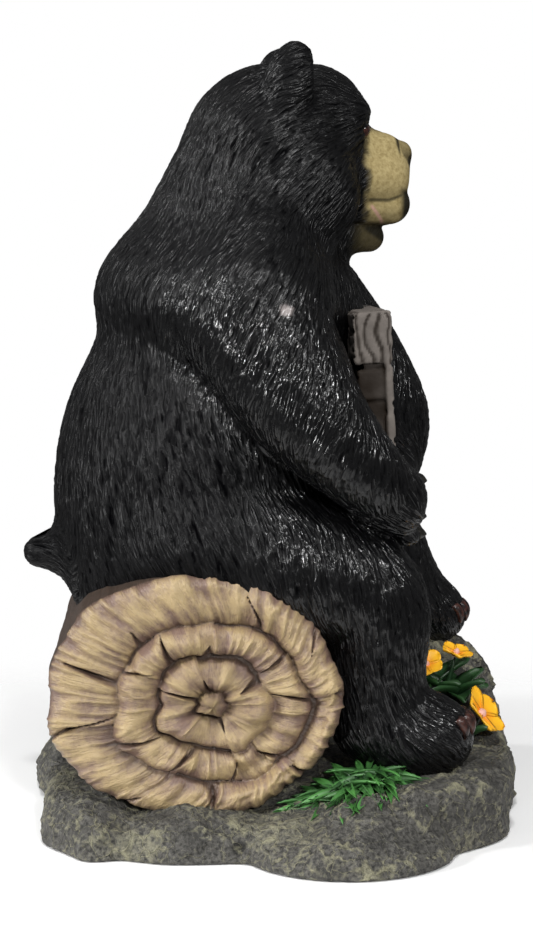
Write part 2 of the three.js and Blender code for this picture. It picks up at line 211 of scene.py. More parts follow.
# Middles of the right and the left ear: forward, up
EARS = {-1: (6.0, 236.8), 1: (5.0, 240.0)}


def head_forms():
    """The lumps and the hollows of the head, each with its blend."""
    lumps = [
        (ball(place(0, 2, 219.2), (31, 26, 25.2)), 8),
        (ball(place(0, 16.5, 227.2), (21, 15.5, 16)), 8),
    ]
    hollows = []
    for s in (-1, 1):
        forward, up = EARS[s]
        lumps += [
            (ball(place(s * 19, 13, 202), (14, 15.5, 16.5)), 9),
            (ball(place(s * 11.5, 23, 220.5), (9, 8, 8)), 4),
            (ball(place(s * 11, 24, 228.5), (8.5, 8, 5)), 5),
            (ball(place(s * 25, forward, up), (6, 8.2, 12.4), EAR_TILT, s * EAR_YAW), 3),
        ]
        hollows += [
            (ball(place(s * 25.5, forward + 9.5, up + 3.2), (3.6, 5, 6.6), EAR_TILT, s * EAR_YAW), 2),
            (ball(place(s * 13, 33.4, 222.6), (4.6, 3.4, 3)), 1.5),
            (ball(place(s * 3.7, 48, 213.8), (1.9, 1.7, 1.4)), 0.8),
        ]
    lumps.append((limb(place(0, 20, 210.8), place(0, 36, 212), 15.5, 11), 4))
    for s in (-1, 1):
        lumps += [
            (limb(place(s * 9, 25, 207), place(s * 4.6, 37.2, 206.8), 9.6, 8.9), 2.5),
            (limb(place(s * 8, 27, 199.6), place(s * 4.2, 40, 199.6), 6.2, 6.6), 0.9),
        ]
    lumps += [
        (limb(place(0, 24, 199), place(0, 38, 199), 7, 6.4), 0.9),
        (limb(place(0, 14, 195.5), place(0, 33.6, 189), 12, 5), 1.4),
        (ball(place(0, 43.9, 215.6), (6.5, 3.7, 4.5)), 0.9),
    ]
    return lumps, hollows


def trunk_forms():
    return [
        (ball(place(0, -19, 104), (48, 51, 72)), 6),
        (limb(place(0, -1, 213), place(0, -13.5, 172), 26.5, 35), 7),
        (limb(place(-14, -2, 198), place(-34, -5, 167), 18, 23), 8),
        (limb(place(14, -2, 198), place(34, 2, 167), 18, 23), 8),
        (ball(place(0, -15, 167), (45, 40.5, 23), 0.12), 13),
        (ball(place(4, 6, 160), (34, 26, 30)), 8),
        (limb(place(0, -54, 86), place(0, -75.5, 85.3), 11.5, 4.8), 6),
    ]


FINGERS = 4
FINGER_LOW, FINGER_PITCH = 95, 5.7


def arm_forms(s):
    """Lumps of the right arm (s = -1) or the left arm (s = 1)."""
    right = [
        (place(-35, -7, 164), 23), (place(-43, 3, 147), 20), (place(-47.5, 12, 133), 16.5),
        (place(-47, 26, 118), 12.6), (place(-39.5, 36, 108), 11),
    ]
    left = [
        (place(36, 13, 163), 24), (place(43, 29.5, 146), 20.5), (place(46, 42.5, 127), 17.4),
        (place(43.5, 45, 113), 13), (place(39, 42.5, 106), 11),
    ]
    lumps = [
        (tube(right if s < 0 else left), 5),
        (ball(place(s * 37, 40, 105.5), (9, 7.5, 10.5)), 4),
        (ball(place(s * 37.5, 33, 116), (5, 6, 11)), 3),
    ]
    for finger in range(FINGERS):
        up = FINGER_LOW + FINGER_PITCH * finger
        lumps.append((ball(place(s * 33.5, 42.2, up), (7, 4.6, 3)), 1.2))
    return lumps


FEET = {
    -1: {"middle": place(-36, 45, 30.5), "radii": (15, 19, 15), "toe": 57, "toe_up": 34, "across": 36},
    1: {"middle": place(37, 59, 56.5), "radii": (13, 14, 11.5), "toe": 66.5, "toe_up": 56.5, "across": 37},
}
TOES = 5


def toe_place(s, i):
    foot = FEET[s]
    spread = i - (TOES - 1) / 2
    return place(s * (foot["across"] + 4.7 * spread), foot["toe"] - 0.9 * spread ** 2, foot["toe_up"])


def leg_forms(s):
    """Lumps of the right leg (s = -1) or the left leg (s = 1)."""
    right = [
        (place(-26, -24, 92), 26), (place(-31, 4, 86), 24.5), (place(-34, 30, 74.5), 18.8),
        (place(-35, 33, 54), 15.6), (place(-35, 33.5, 36), 15),
    ]
    left = [
        (place(26, -24, 92), 26), (place(31, 8, 90), 24.5), (place(34, 35.5, 82.5), 19.5),
        (place(35.5, 45.5, 71), 16), (place(36, 53, 62), 13.5),
    ]
    lumps = [(tube(right if s < 0 else left), 6), (ball(FEET[s]["middle"], FEET[s]["radii"]), 5)]
    for i in range(TOES):
        lumps.append((ball(toe_place(s, i), (3.2, 6, 6.5)), 1.5))
    return lumps


# Grids of distances and the surfaces drawn from them

class Grid:
    """A block of evenly spaced points."""

    def __init__(self, low, high, cell):
        self.low = np.asarray(low, dtype=float)
        self.cell = cell
        self.count = np.ceil((np.asarray(high) - self.low) / cell).astype(int) + 1
        self.axes = [(self.low[k] + cell * np.arange(self.count[k])).astype(np.float32) for k in range(3)]

    def blank(self):
        return np.full(self.count, 1e3, dtype=np.float32)

    def add(self, field, form, blend, tool=join):
        """Works one form into the field, only where it can matter."""
        margin = blend + 5
        cuts = []
        for k in range(3):
            first = np.searchsorted(self.axes[k], form.low[k] - margin)
            last = np.searchsorted(self.axes[k], form.high[k] + margin)
            if first >= last:
                return
            cuts.append(slice(first, last))
        x = self.axes[0][cuts[0]][:, None, None]
        y = self.axes[1][cuts[1]][None, :, None]
        z = self.axes[2][cuts[2]][None, None, :]
        block = tuple(cuts)
        field[block] = tool(field[block], form.distance(x, y, z).astype(np.float32), blend)

    def group(self, lumps):
        field = self.blank()
        for form, blend in lumps:
            self.add(field, form, blend)
        return field

    def sample(self, field, points):
        """The field at any points, by trilinear weights."""
        q = np.clip((points - self.low) / self.cell, 0, self.count - 1.001)
        i = q.astype(int)
        w = q - i
        out = np.zeros(len(points))
        for corner in np.ndindex(2, 2, 2):
            share = np.prod(np.where(corner, w, 1 - w), axis=1)
            out += share * field[i[:, 0] + corner[0], i[:, 1] + corner[1], i[:, 2] + corner[2]]
        return out


def skin(grid, field):
    """Quads along the field's zero, one point for each crossed cell."""
    inside = field < 0
    total = np.zeros(grid.count - 1, dtype=np.int8)
    for a, b, c in np.ndindex(2, 2, 2):
        n = grid.count - 1
        total += inside[a:a + n[0], b:b + n[1], c:c + n[2]]
    cells = np.argwhere((total > 0) & (total < 8))
    corners = np.array(list(np.ndindex(2, 2, 2)))
    values = np.stack([field[tuple((cells + k).T)] for k in corners], axis=1).astype(float)
    position = np.zeros((len(cells), 3))
    crossings = np.zeros(len(cells))
    for a in range(8):
        for b in range(a + 1, 8):
            if np.abs(corners[a] - corners[b]).sum() != 1:
                continue
            crossed = (values[:, a] < 0) != (values[:, b] < 0)
            gap = values[:, a] - values[:, b]
            t = np.where(crossed, values[:, a] / np.where(gap == 0, 1, gap), 0)
            point = corners[a] + t[:, None] * (corners[b] - corners[a])
            position += np.where(crossed[:, None], point, 0)
            crossings += crossed
    points = grid.low + grid.cell * (cells + position / crossings[:, None])
    number = np.full(grid.count - 1, -1, dtype=np.int32)
    number[tuple(cells.T)] = np.arange(len(cells))
    quads = []
    for k in range(3):
        lower = [slice(1, -1)] * 3
        upper = [slice(1, -1)] * 3
        lower[k], upper[k] = slice(0, -1), slice(1, None)
        start, end = inside[tuple(lower)], inside[tuple(upper)]
        for into in (True, False):
            edges = np.argwhere((start & ~end) if into else (~start & end))
            offset = np.ones(3, dtype=int)
            offset[k] = 0
            at = edges + offset
            u, v = [m for m in range(3) if m != k]
            step_u, step_v = np.eye(3, dtype=int)[u], np.eye(3, dtype=int)[v]
            ring = [at - step_u - step_v, at - step_v, at, at - step_u]
            quad = np.stack([number[tuple(r.T)] for r in ring], axis=1)
            quads.append(quad if into == (k != 1) else quad[:, ::-1])
    return points, np.concatenate(quads)


def point_normals(points, quads):
    face = np.cross(points[quads[:, 2]] - points[quads[:, 0]], points[quads[:, 3]] - points[quads[:, 1]])
    out = np.zeros_like(points)
    for k in range(4):
        for axis in range(3):
            out[:, axis] += np.bincount(quads[:, k], face[:, axis], len(points))
    return out / np.maximum(np.linalg.norm(out, axis=1, keepdims=True), 1e-12)


def relaxed(points, quads, rounds):
    """Points drawn towards their neighbours' mean, which evens out the grid's steps."""
    for _ in range(rounds):
        total = np.zeros_like(points)
        count = np.bincount(quads.ravel(), minlength=len(points)).astype(float)
        for k in range(4):
            middle = (points[quads[:, k - 1]] + points[quads[:, (k + 1) % 4]]) / 2
            for axis in range(3):
                total[:, axis] += np.bincount(quads[:, k], middle[:, axis], len(points))
        points = 0.5 * points + 0.5 * total / count[:, None]
    return points


def mix(a, b, t):
    return a + (b - a) * t


def step(low, high, x):
    t = np.clip((x - low) / (high - low), 0, 1)
    return t * t * (3 - 2 * t)


def unit(v):
    return v / np.maximum(np.linalg.norm(v, axis=-1, keepdims=True), 1e-9)


def hashed(*cells):
    """An even random number from 0 to 1 for each whole-number cell."""
    total = np.zeros(np.shape(cells[0]), dtype=np.uint64)
    for k, cell in enumerate(cells):
        total = total * np.uint64(6364136223846793005) + np.asarray(cell).astype(np.int64).astype(np.uint64)
        total ^= total >> np.uint64(29)
        total = total * np.uint64(11400714819323198485) + np.uint64(k + 1)
        total ^= total >> np.uint64(32)
    return (total & np.uint64(0xFFFFFF)).astype(float) / 0xFFFFFF


def lumpy(points, size, seed=0):
    """Smooth noise from -1 to 1 with lumps of about this size."""
    q = points / size + 100
    i = np.floor(q).astype(np.int64)
    w = q - i
    w = w * w * (3 - 2 * w)
    out = np.zeros(len(points))
    for corner in np.ndindex(2, 2, 2):
        share = np.prod(np.where(corner, w, 1 - w), axis=1)
        out += share * hashed(*(i + corner).T, np.full(len(points), seed))
    return 2 * out - 1


def layered(points, size, octaves=3, seed=0):
    """Lumps of about this size with finer ones on them, from -1 to 1."""
    total = sum(lumpy(points, size / 2 ** k, seed + k) / 2 ** k for k in range(octaves))
    return total / (2 - 2 ** (1 - octaves))


def chips(points, size, seed=0):
    """Distances to the nearest two of scattered points, in cells of this size, and the nearest's number."""
    q = points / size + 100
    i = np.floor(q).astype(np.int64)
    first = np.full(len(points), 9.0)
    second = np.full(len(points), 9.0)
    number = np.zeros(len(points))
    for corner in np.ndindex(3, 3, 3):
        c = i + np.array(corner) - 1
        at = np.stack([hashed(*c.T, np.full(len(points), seed + k)) for k in range(3)], axis=1)
        gap = np.linalg.norm(c + at - q, axis=1)
        closer = gap < first
        second = np.where(closer, first, np.minimum(second, gap))
        number = np.where(closer, hashed(*c.T, np.full(len(points), seed + 5)), number)
        first = np.where(closer, gap, first)
    return first, second, number


# Fur, carved as overlapping tufts that follow a flow over the body

# How the fur lies on the bear's right side: place, then direction, each across, forward, up
FUR_FLOW = [
    ((0, 46, 214), (0, -1, 0.1)), ((0, 25, 242), (0, -0.8, 0.5)), ((0, 0, 246), (0, -1, -0.1)),
    ((0, -28, 222), (0, -0.45, -0.9)), ((-30, 8, 222), (-0.2, -0.9, -0.35)),
    ((-27, 20, 205), (-0.3, -0.7, -0.7)), ((-22, 10, 188), (-0.2, -0.4, -0.9)),
    ((0, -42, 196), (0, -0.35, -0.93)), ((-30, -22, 198), (-0.3, -0.3, -0.9)),
    ((-52, -12, 172), (-0.2, -0.4, -0.9)), ((-56, -14, 156), (0, -0.5, -0.86)),
    ((-60, 2, 152), (0, -0.5, -0.86)), ((-59, -3, 143), (0, -0.5, -0.86)),
    ((-62, 14, 134), (0, -0.35, -0.93)), ((-58, 9, 128), (0, -0.42, -0.9)),
    ((-57, 20, 119), (0, -0.15, -0.98)), ((-55, 34, 118), (0.1, 0.2, -0.96)),
    ((-44, 46, 106), (0.3, 0.8, -0.5)), ((0, -57, 160), (0, 0.1, -1)), ((0, -68, 120), (0, 0.15, -1)),
    ((-40, -46, 130), (-0.1, 0.3, -0.95)), ((-46, -18, 120), (-0.1, 0.45, -0.9)),
    ((-44, 8, 110), (0, 0.6, -0.8)), ((-44, -40, 95), (-0.2, 0.25, -0.95)),
    ((-54, -10, 88), (-0.2, 0.35, -0.92)), ((-54, 20, 84), (-0.1, 0.3, -0.95)),
    ((-50, 36, 62), (0, 0.1, -1)), ((-50, 34, 44), (-0.1, 0.3, -0.95)), ((-44, 54, 34), (0, 0.85, -0.5)),
    ((0, -76, 86), (0, -0.9, 0.1)), ((0, 34, 165), (0, 0.1, -1)), ((-14, 34, 90), (0.3, 0.1, -0.95)),
]


def fur_direction(points, normals):
    """The way the fur lies at each point, along the surface."""
    total = np.zeros_like(points)
    for (across, forward, up), (da, df, du) in FUR_FLOW:
        for s in ((1,) if across == 0 else (1, -1)):
            near = ((points - place(s * across, forward, up)) ** 2).sum(1)
            total += place(s * da, df, du) / (near + 60)[:, None] ** 2
    wander = np.stack([lumpy(points, 22, SEED + k) for k in range(3)], axis=1)
    total = unit(total) + 0.25 * wander
    total -= normals * (total * normals).sum(1, keepdims=True)
    return unit(total)


class Bins:
    """Places sorted into cubes, to find those near a given one."""

    def __init__(self, places, size):
        self.size = size
        self.low = places.min(0) - 1.5 * size
        cell = ((places - self.low) / size).astype(np.int64)
        self.shape = cell.max(0) + 3
        flat = self.flat(cell)
        self.order = np.argsort(flat, kind="stable")
        self.edges = np.searchsorted(flat[self.order], np.arange(self.shape.prod() + 1))

    def flat(self, cell):
        return (cell[..., 0] * self.shape[1] + cell[..., 1]) * self.shape[2] + cell[..., 2]

    def near(self, spot):
        middle = self.flat(((spot - self.low) / self.size).astype(np.int64))
        rows = [middle + (a * self.shape[1] + b) * self.shape[2] for a in (-1, 0, 1) for b in (-1, 0, 1)]
        return np.concatenate([self.order[self.edges[row - 1]:self.edges[row + 2]] for row in rows])


def scattered(points, spacing, rng):
    """Some of the points, about one in each cube of this spacing, in random order."""
    key = np.floor(points / spacing).astype(np.int64)
    order = rng.permutation(len(points))
    _, first = np.unique(key[order], axis=0, return_index=True)
    return rng.permutation(order[first])


def carved_tufts(points, normals, spacing, length, width, height, rng):
    """Height of the carved fur at each point: tufts with a ridge, laid over one another."""
    roots = scattered(points, spacing, rng)
    bins = Bins(points, length * 0.62)
    way = fur_direction(points[roots], normals[roots])
    turn = rng.normal(0, 0.14, len(roots))
    lengths = length * rng.uniform(0.65, 1.25, len(roots))
    widths = width * rng.uniform(0.7, 1.35, len(roots))
    heights = height * rng.uniform(0.45, 1.2, len(roots))
    bends = rng.normal(0, 0.012, len(roots))
    relief = np.zeros(len(points))
    for k, root in enumerate(roots):
        near = bins.near(points[root])
        out = normals[root]
        along = way[k] * math.cos(turn[k]) + np.cross(out, way[k]) * math.sin(turn[k])
        gap = points[near] - points[root]
        u = gap @ along / lengths[k] + 0.4
        held = (u > 0) & (u < 1)
        near, gap, u = near[held], gap[held], u[held]
        v = gap @ np.cross(out, along) + bends[k] * (gap @ along) ** 2
        v /= 0.5 * widths[k] * (1.12 - 0.75 * u)
        ridge = np.maximum(1 - np.abs(v) ** 1.3, 0) * np.minimum(u / 0.35, 1) * np.minimum((1 - u) / 0.2, 1)
        ridge *= heights[k] * (normals[near] @ out > 0.2)
        relief[near] = np.maximum(relief[near], ridge)
    return relief


def locks(points, faces, normals, length, width, rng):
    """Parts the faces into long locks; gives each face corner its place across and along its lock."""
    roots = scattered(points, 0.9 * width, rng)
    middles = points[faces].mean(1)
    bins = Bins(middles, length)
    out = normals[roots]
    way = fur_direction(points[roots], out)
    turn = rng.normal(0, 0.1, len(roots))[:, None]
    way = way * np.cos(turn) + np.cross(out, way) * np.sin(turn)
    side = np.cross(out, way)
    best = np.full(len(faces), np.inf)
    own = np.zeros(len(faces), dtype=np.int64)
    for k, root in enumerate(roots):
        near = bins.near(points[root])
        gap = middles[near] - points[root]
        far = (gap @ way[k] / length) ** 2 + (gap @ side[k] / width) ** 2 + (gap @ out[k] / width) ** 2
        closer = far < best[near]
        best[near[closer]] = far[closer]
        own[near[closer]] = k
    gap = points[faces] - points[roots][own][:, None, :]
    shift = rng.uniform(0, 600, (2, len(roots)))
    across = (gap * side[own][:, None, :]).sum(2) + shift[0][own][:, None]
    along = (gap * way[own][:, None, :]).sum(2) + shift[1][own][:, None]
    return across, along


def fur(points, quads, faces, sizes, scale, bare, rng):
    """Points raised by the carved fur, and its marks for the paint; bare is 1 where there is none."""
    normals = point_normals(points, quads)
    height = scale * sizes.strand_height
    wide, length = scale * sizes.strand_width, scale * sizes.strand_length
    ridge = carved_tufts(points, normals, 0.75 * wide, length, wide, height, rng) / height * (1 - bare)
    across, along = locks(points, faces, normals, length, 1.5 * wide, rng)
    marks = {"relief": ridge, "across": across / scale, "along": along / scale}
    return points + normals * (height * (ridge - 0.45 * (1 - bare)))[:, None], marks


# Blender meshes and materials

def new_piece(name, points, faces, slot, material, marks=None, smooth=True):
    """A closed piece at the origin, from points in millimetres; marks are values for its paint."""
    mesh = bpy.data.meshes.new(name)
    if isinstance(faces, np.ndarray):
        sides = faces.shape[1]
        mesh.vertices.add(len(points))
        mesh.vertices.foreach_set("co", (np.asarray(points) * MM).astype(np.float32).ravel())
        mesh.loops.add(faces.size)
        mesh.loops.foreach_set("vertex_index", faces.astype(np.int32).ravel())
        mesh.polygons.add(len(faces))
        mesh.polygons.foreach_set("loop_start", np.arange(0, faces.size, sides, dtype=np.int32))
        mesh.update(calc_edges=True)
    else:
        mesh.from_pydata([tuple(p) for p in np.asarray(points) * MM], [], faces)
    for mark, values in (marks or {}).items():
        values = np.asarray(values, dtype=np.float32)
        layer = mesh.attributes.new(mark, "FLOAT", "POINT" if values.ndim == 1 else "CORNER")
        layer.data.foreach_set("value", values.ravel())
    if smooth:
        mesh.shade_smooth()
    mesh.validate()
    piece = bpy.data.objects.new(name, mesh)
    bpy.context.scene.collection.objects.link(piece)
    mesh.materials.append(material)
    settle(piece)
    return piece


def settle(piece):
    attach(piece, "root")
    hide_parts(NODE)


def node(tree, kind, settings=None, out=0, **links):
    """Adds a node and returns one of its outputs; settings are its own properties, links its inputs."""
    made = tree.nodes.new(kind)
    for key, value in (settings or {}).items():
        setattr(made, key, value)
    for key, value in links.items():
        name = key.replace("_", " ")
        socket = made.inputs[int(name[1:])] if name[0] == "i" and name[1:].isdigit() else made.inputs[name]
        if isinstance(value, bpy.types.NodeSocket):
            tree.links.new(value, socket)
        else:
            socket.default_value = value
    return made.outputs[out] if len(made.outputs) else None


# Nodes that recur: kind, settings and, for the mix of two colours, the output that is used
COLOUR_MIX = ("ShaderNodeMix", {"data_type": "RGBA"}, 2)
MULTIPLY_ADD = ("ShaderNodeMath", {"operation": "MULTIPLY_ADD"})


def material(name):
    made = bpy.data.materials.new(name)
    made.use_nodes = True
    tree = made.node_tree
    return made, tree, tree.nodes["Principled BSDF"]


def settings():
    scene = bpy.context.scene
    return scene.figurine_sizes, scene.figurine_colours


# The bear

NECK_CUT = (27, 180)
NECK_SLOPE = (0.268, 0.963)
SEAM_OVERLAP = 3.0
SEAM_DIVE = 0.3


def above_neck(points):
    """Distance above the sloping cut where the head's mesh takes over from the body's."""
    return NECK_SLOPE[0] * (-points[:, 1] - NECK_CUT[0]) + NECK_SLOPE[1] * (points[:, 2] - NECK_CUT[1])


def bear_fields(grid):
    """The whole bear's field, and the fields of its trunk, arms and legs."""
    lumps, hollows = head_forms()
    head = grid.group(lumps)
    for form, blend in hollows:
        grid.add(head, form, blend, carve)
    parts = {"trunk": join(grid.group(trunk_forms()), head, 6)}
    for s, side in ((-1, "right"), (1, "left")):
        parts["leg_" + side] = grid.group(leg_forms(s))
        parts["arm_" + side] = grid.group(arm_forms(s))
    legs = np.minimum(parts["leg_right"], parts["leg_left"])
    arms = np.minimum(parts["arm_right"], parts["arm_left"])
    return join(join(parts["trunk"], legs, 4), arms, 3), parts


def cut_at_neck(grid, field, keep_head):
    """Keeps the part above or below the neck's cut; near it the skin dips under the other part's."""
    y = grid.axes[1][None, :, None]
    z = grid.axes[2][None, None, :]
    above = NECK_SLOPE[0] * (-y - NECK_CUT[0]) + NECK_SLOPE[1] * (z - NECK_CUT[1])
    past = -above if keep_head else above
    dip = SEAM_DIVE * step(-SEAM_OVERLAP, SEAM_OVERLAP, past)
    return np.maximum(field + dip.astype(np.float32), past - SEAM_OVERLAP)


def triangles(points, quads):
    """Each quad as two triangles, split along its shorter diagonal."""
    a, b, c, d = (points[quads[:, k]] for k in range(4))
    short = np.linalg.norm(a - c, axis=1) <= np.linalg.norm(b - d, axis=1)
    first = np.where(short[:, None], quads[:, [0, 1, 2]], quads[:, [0, 1, 3]])
    second = np.where(short[:, None], quads[:, [0, 2, 3]], quads[:, [1, 2, 3]])
    return np.concatenate([first, second])


def closed_share(points, faces, chosen, apex):
    """The chosen triangles as a body of their own, its open rim closed towards a point inside."""
    own = faces[chosen]
    used, own = np.unique(own, return_inverse=True)
    own = own.reshape(-1, 3)
    count = len(used) + 1
    sides = np.concatenate([own[:, [0, 1]], own[:, [1, 2]], own[:, [2, 0]]])
    forth = sides[:, 0].astype(np.int64) * count + sides[:, 1]
    back = sides[:, 1].astype(np.int64) * count + sides[:, 0]
    rim = sides[~np.isin(forth, back)]
    lids = np.column_stack([rim[:, 1], rim[:, 0], np.full(len(rim), len(used))])
    return used, np.vstack([points[used], apex]), np.vstack([own, lids])


# Carved strands and the hairs in them: how far apart and how long, in millimetres
STRAND_PITCH, STRAND_RUN = 1.6, 16.0
HAIR_PITCH, HAIR_RUN = 0.8, 10.0


def fur_paint(colours):
    """Satin black enamel over cast fur: strands glint along their ridges and stay dull between them."""
    made, tree, shader = material("satin_black_enamel_fur")
    names = ("across", "along", "relief", "tan", "dark", "pink", "scuff", "dull")
    across, along, relief, tan, dark, pink, scuff, dull = [
        node(tree, "ShaderNodeAttribute", {"attribute_name": name}, "Fac") for name in names]
    at = node(tree, "ShaderNodeTexCoord", None, "Object")
    # Thin crests drawn out along each lock, for the strands and for the finer hairs
    flat = node(tree, "ShaderNodeCombineXYZ", X=across, Y=along)
    crests = []
    for pitch, run in ((STRAND_PITCH, STRAND_RUN), (HAIR_PITCH, HAIR_RUN)):
        drawn = node(
            tree, "ShaderNodeVectorMath", {"operation": "MULTIPLY"}, i0=flat, i1=(1 / pitch, 1 / run, 1))
        crest = node(
            tree, "ShaderNodeTexNoise", {"noise_dimensions": "2D"}, Vector=drawn, Scale=1.0, Detail=0.0)
        crest = node(tree, "ShaderNodeMath", {"operation": "SUBTRACT"}, i0=crest, i1=0.5)
        crest = node(tree, "ShaderNodeMath", {"operation": "ABSOLUTE"}, i0=crest)
        crests.append(node(
            tree, "ShaderNodeMapRange", {"interpolation_type": "SMOOTHSTEP"}, Value=crest,
            From_Max=0.24, To_Min=1.0, To_Max=0.0))
    hair = node(tree, "ShaderNodeMix", {"data_type": "FLOAT"}, 0, i0=0.25, i2=crests[0], i3=crests[1])
    carved = node(tree, *MULTIPLY_ADD, i0=hair, i1=0.7, i2=relief)
    ridge = node(tree, "ShaderNodeMapRange", Value=carved, From_Min=0.3, From_Max=1.3)
    black = node(tree, *COLOUR_MIX, i0=ridge, i6=tuple(colours.fur_groove), i7=tuple(colours.fur_ridge))
    # Tan of the muzzle, stippled in flecks of about 1.6 mm
    cloud = node(tree, "ShaderNodeTexNoise", Vector=at, Scale=1 / (1.6 * MM), Detail=3.0, Roughness=0.7)
    cloud = node(tree, "ShaderNodeMapRange", Value=cloud, From_Min=0.2, From_Max=0.66)
    warm = node(tree, *COLOUR_MIX, i0=cloud, i6=tuple(colours.muzzle_shade), i7=tuple(colours.muzzle))
    colour = node(tree, *COLOUR_MIX, i0=tan, i6=black, i7=warm)
    for share, layer in ((dark, colours.lip_dark), (pink, colours.mouth), (scuff, colours.scuff)):
        colour = node(tree, *COLOUR_MIX, i0=share, i6=colour, i7=tuple(layer))
    tree.links.new(colour, shader.inputs["Base Color"])
    gloss = node(
        tree, "ShaderNodeMapRange", Value=carved, From_Min=0.3, From_Max=1.2, To_Min=0.5, To_Max=0.17)
    gloss = node(tree, "ShaderNodeMath", {"operation": "ADD"}, i0=gloss, i1=dull)
    gloss = node(tree, "ShaderNodeMix", {"data_type": "FLOAT"}, 0, i0=tan, i2=gloss, i3=0.62)
    tree.links.new(gloss, shader.inputs["Roughness"])
    shine = node(
        tree, "ShaderNodeMapRange", Value=carved, From_Min=0.35, From_Max=1.25, To_Min=0.02, To_Max=0.42)
    faded = node(tree, *MULTIPLY_ADD, i0=dull, i1=-2.9, i2=1.0)
    shine = node(tree, "ShaderNodeMath", {"operation": "MULTIPLY"}, i0=shine, i1=faded)
    tree.links.new(shine, shader.inputs["Specular IOR Level"])
    furry = node(tree, "ShaderNodeMath", {"operation": "SUBTRACT"}, i0=1.0, i1=tan)
    bump = node(tree, "ShaderNodeBump", Strength=furry, Distance=0.36 * MM, Height=hair)
    tree.links.new(bump, shader.inputs["Normal"])
    return made


def face_marks(points):
    """Where the muzzle's tan, its dark lips and nose and the pink of the mouth are painted."""
    across, forward, up = np.abs(points[:, 0]), -points[:, 1], points[:, 2]
    ragged = 0.8 * lumpy(points, 1.6, 3) + 0.8 * lumpy(points, 4, 9)
    tan = step(29.8, 33.4, forward + ragged) * step(191, 194, up) * step(229, 225, up + ragged)
    tan *= step(20, 17, across + ragged) * (1 - step(222, 224.5, up) * step(40, 37, forward))
    nose = ball(place(0, 43.9, 215.6), (6.5, 3.7, 4.5)).distance(*points.T)
    hole = np.hypot(forward - 47.0, up - 213.6) + 0.4 * np.abs(across - 3.7)
    # The nose's dark paint thins towards its top: a painted highlight there
    dark = step(1.0, 0.3, nose) * step(41.0, 42.6, forward) * mix(0.45, 0.7, step(218.5, 214, up))
    rim = step(1.7, 0.7, np.abs(nose - 0.5)) * step(40.0, 41.0, forward) * step(43.4, 42.4, forward)
    dark = np.maximum(dark, rim)
    dark = np.maximum(dark, 0.95 * step(3.0, 1.9, hole))
    dark = np.maximum(dark, step(41.6, 44.6, forward + 0.3 * ragged) * step(205.5, 203, up))
    line = 200.6 + 2.2 * step(38, 46, forward)
    crease = 0.8 * step(0.9, 0.2, np.abs(up - line)) * step(31, 33, forward)
    dark = np.maximum(dark, crease)
    jaw = step(194.5, 192.0, up) * step(25, 30, forward + ragged)
    lip = step(-1.2, 0.8, up - 189.6 + 0.64 * (forward - 34.3)) * step(29, 33, forward)
    dark = np.maximum(dark, jaw * mix(0.8, 1.0, np.maximum(lip, step(31, 27, forward))))
    tan = np.maximum(tan, 0.85 * jaw * step(27, 32, forward + ragged))
    strip = np.abs((forward - 35) * 0.78 + (up - 196.4) * 0.62)
    pink = step(0.7, 0.25, strip) * step(32.4, 33.4, forward)
    pink *= step(38, 36.6, forward) * step(199.5, 198.5, up)
    return tan, dark, 0.75 * pink * (across > 4)


HEAD_DULL, TRUNK_DULL = 0.16, 0.22
# A pale scuff on the right shoulder
SCUFF_PLACE, SCUFF_RADIUS = place(-57.5, 3.2, 166.5), 2.6
LOG_SOLID = 0.93
BASE_SOLID = 13


def out_of_sight(points):
    """True inside the log and the base, where none of the bear shows."""
    across, forward, up = points[:, 0], -points[:, 1], points[:, 2]
    log = ((forward - LOG_FORWARD) / LOG_RADIUS_FORWARD) ** 2 + ((up - LOG_UP) / LOG_RADIUS_UP) ** 2
    return ((log < LOG_SOLID ** 2) & (np.abs(across) < LOG_HALF_LENGTH - 6)) | (up < BASE_SOLID)


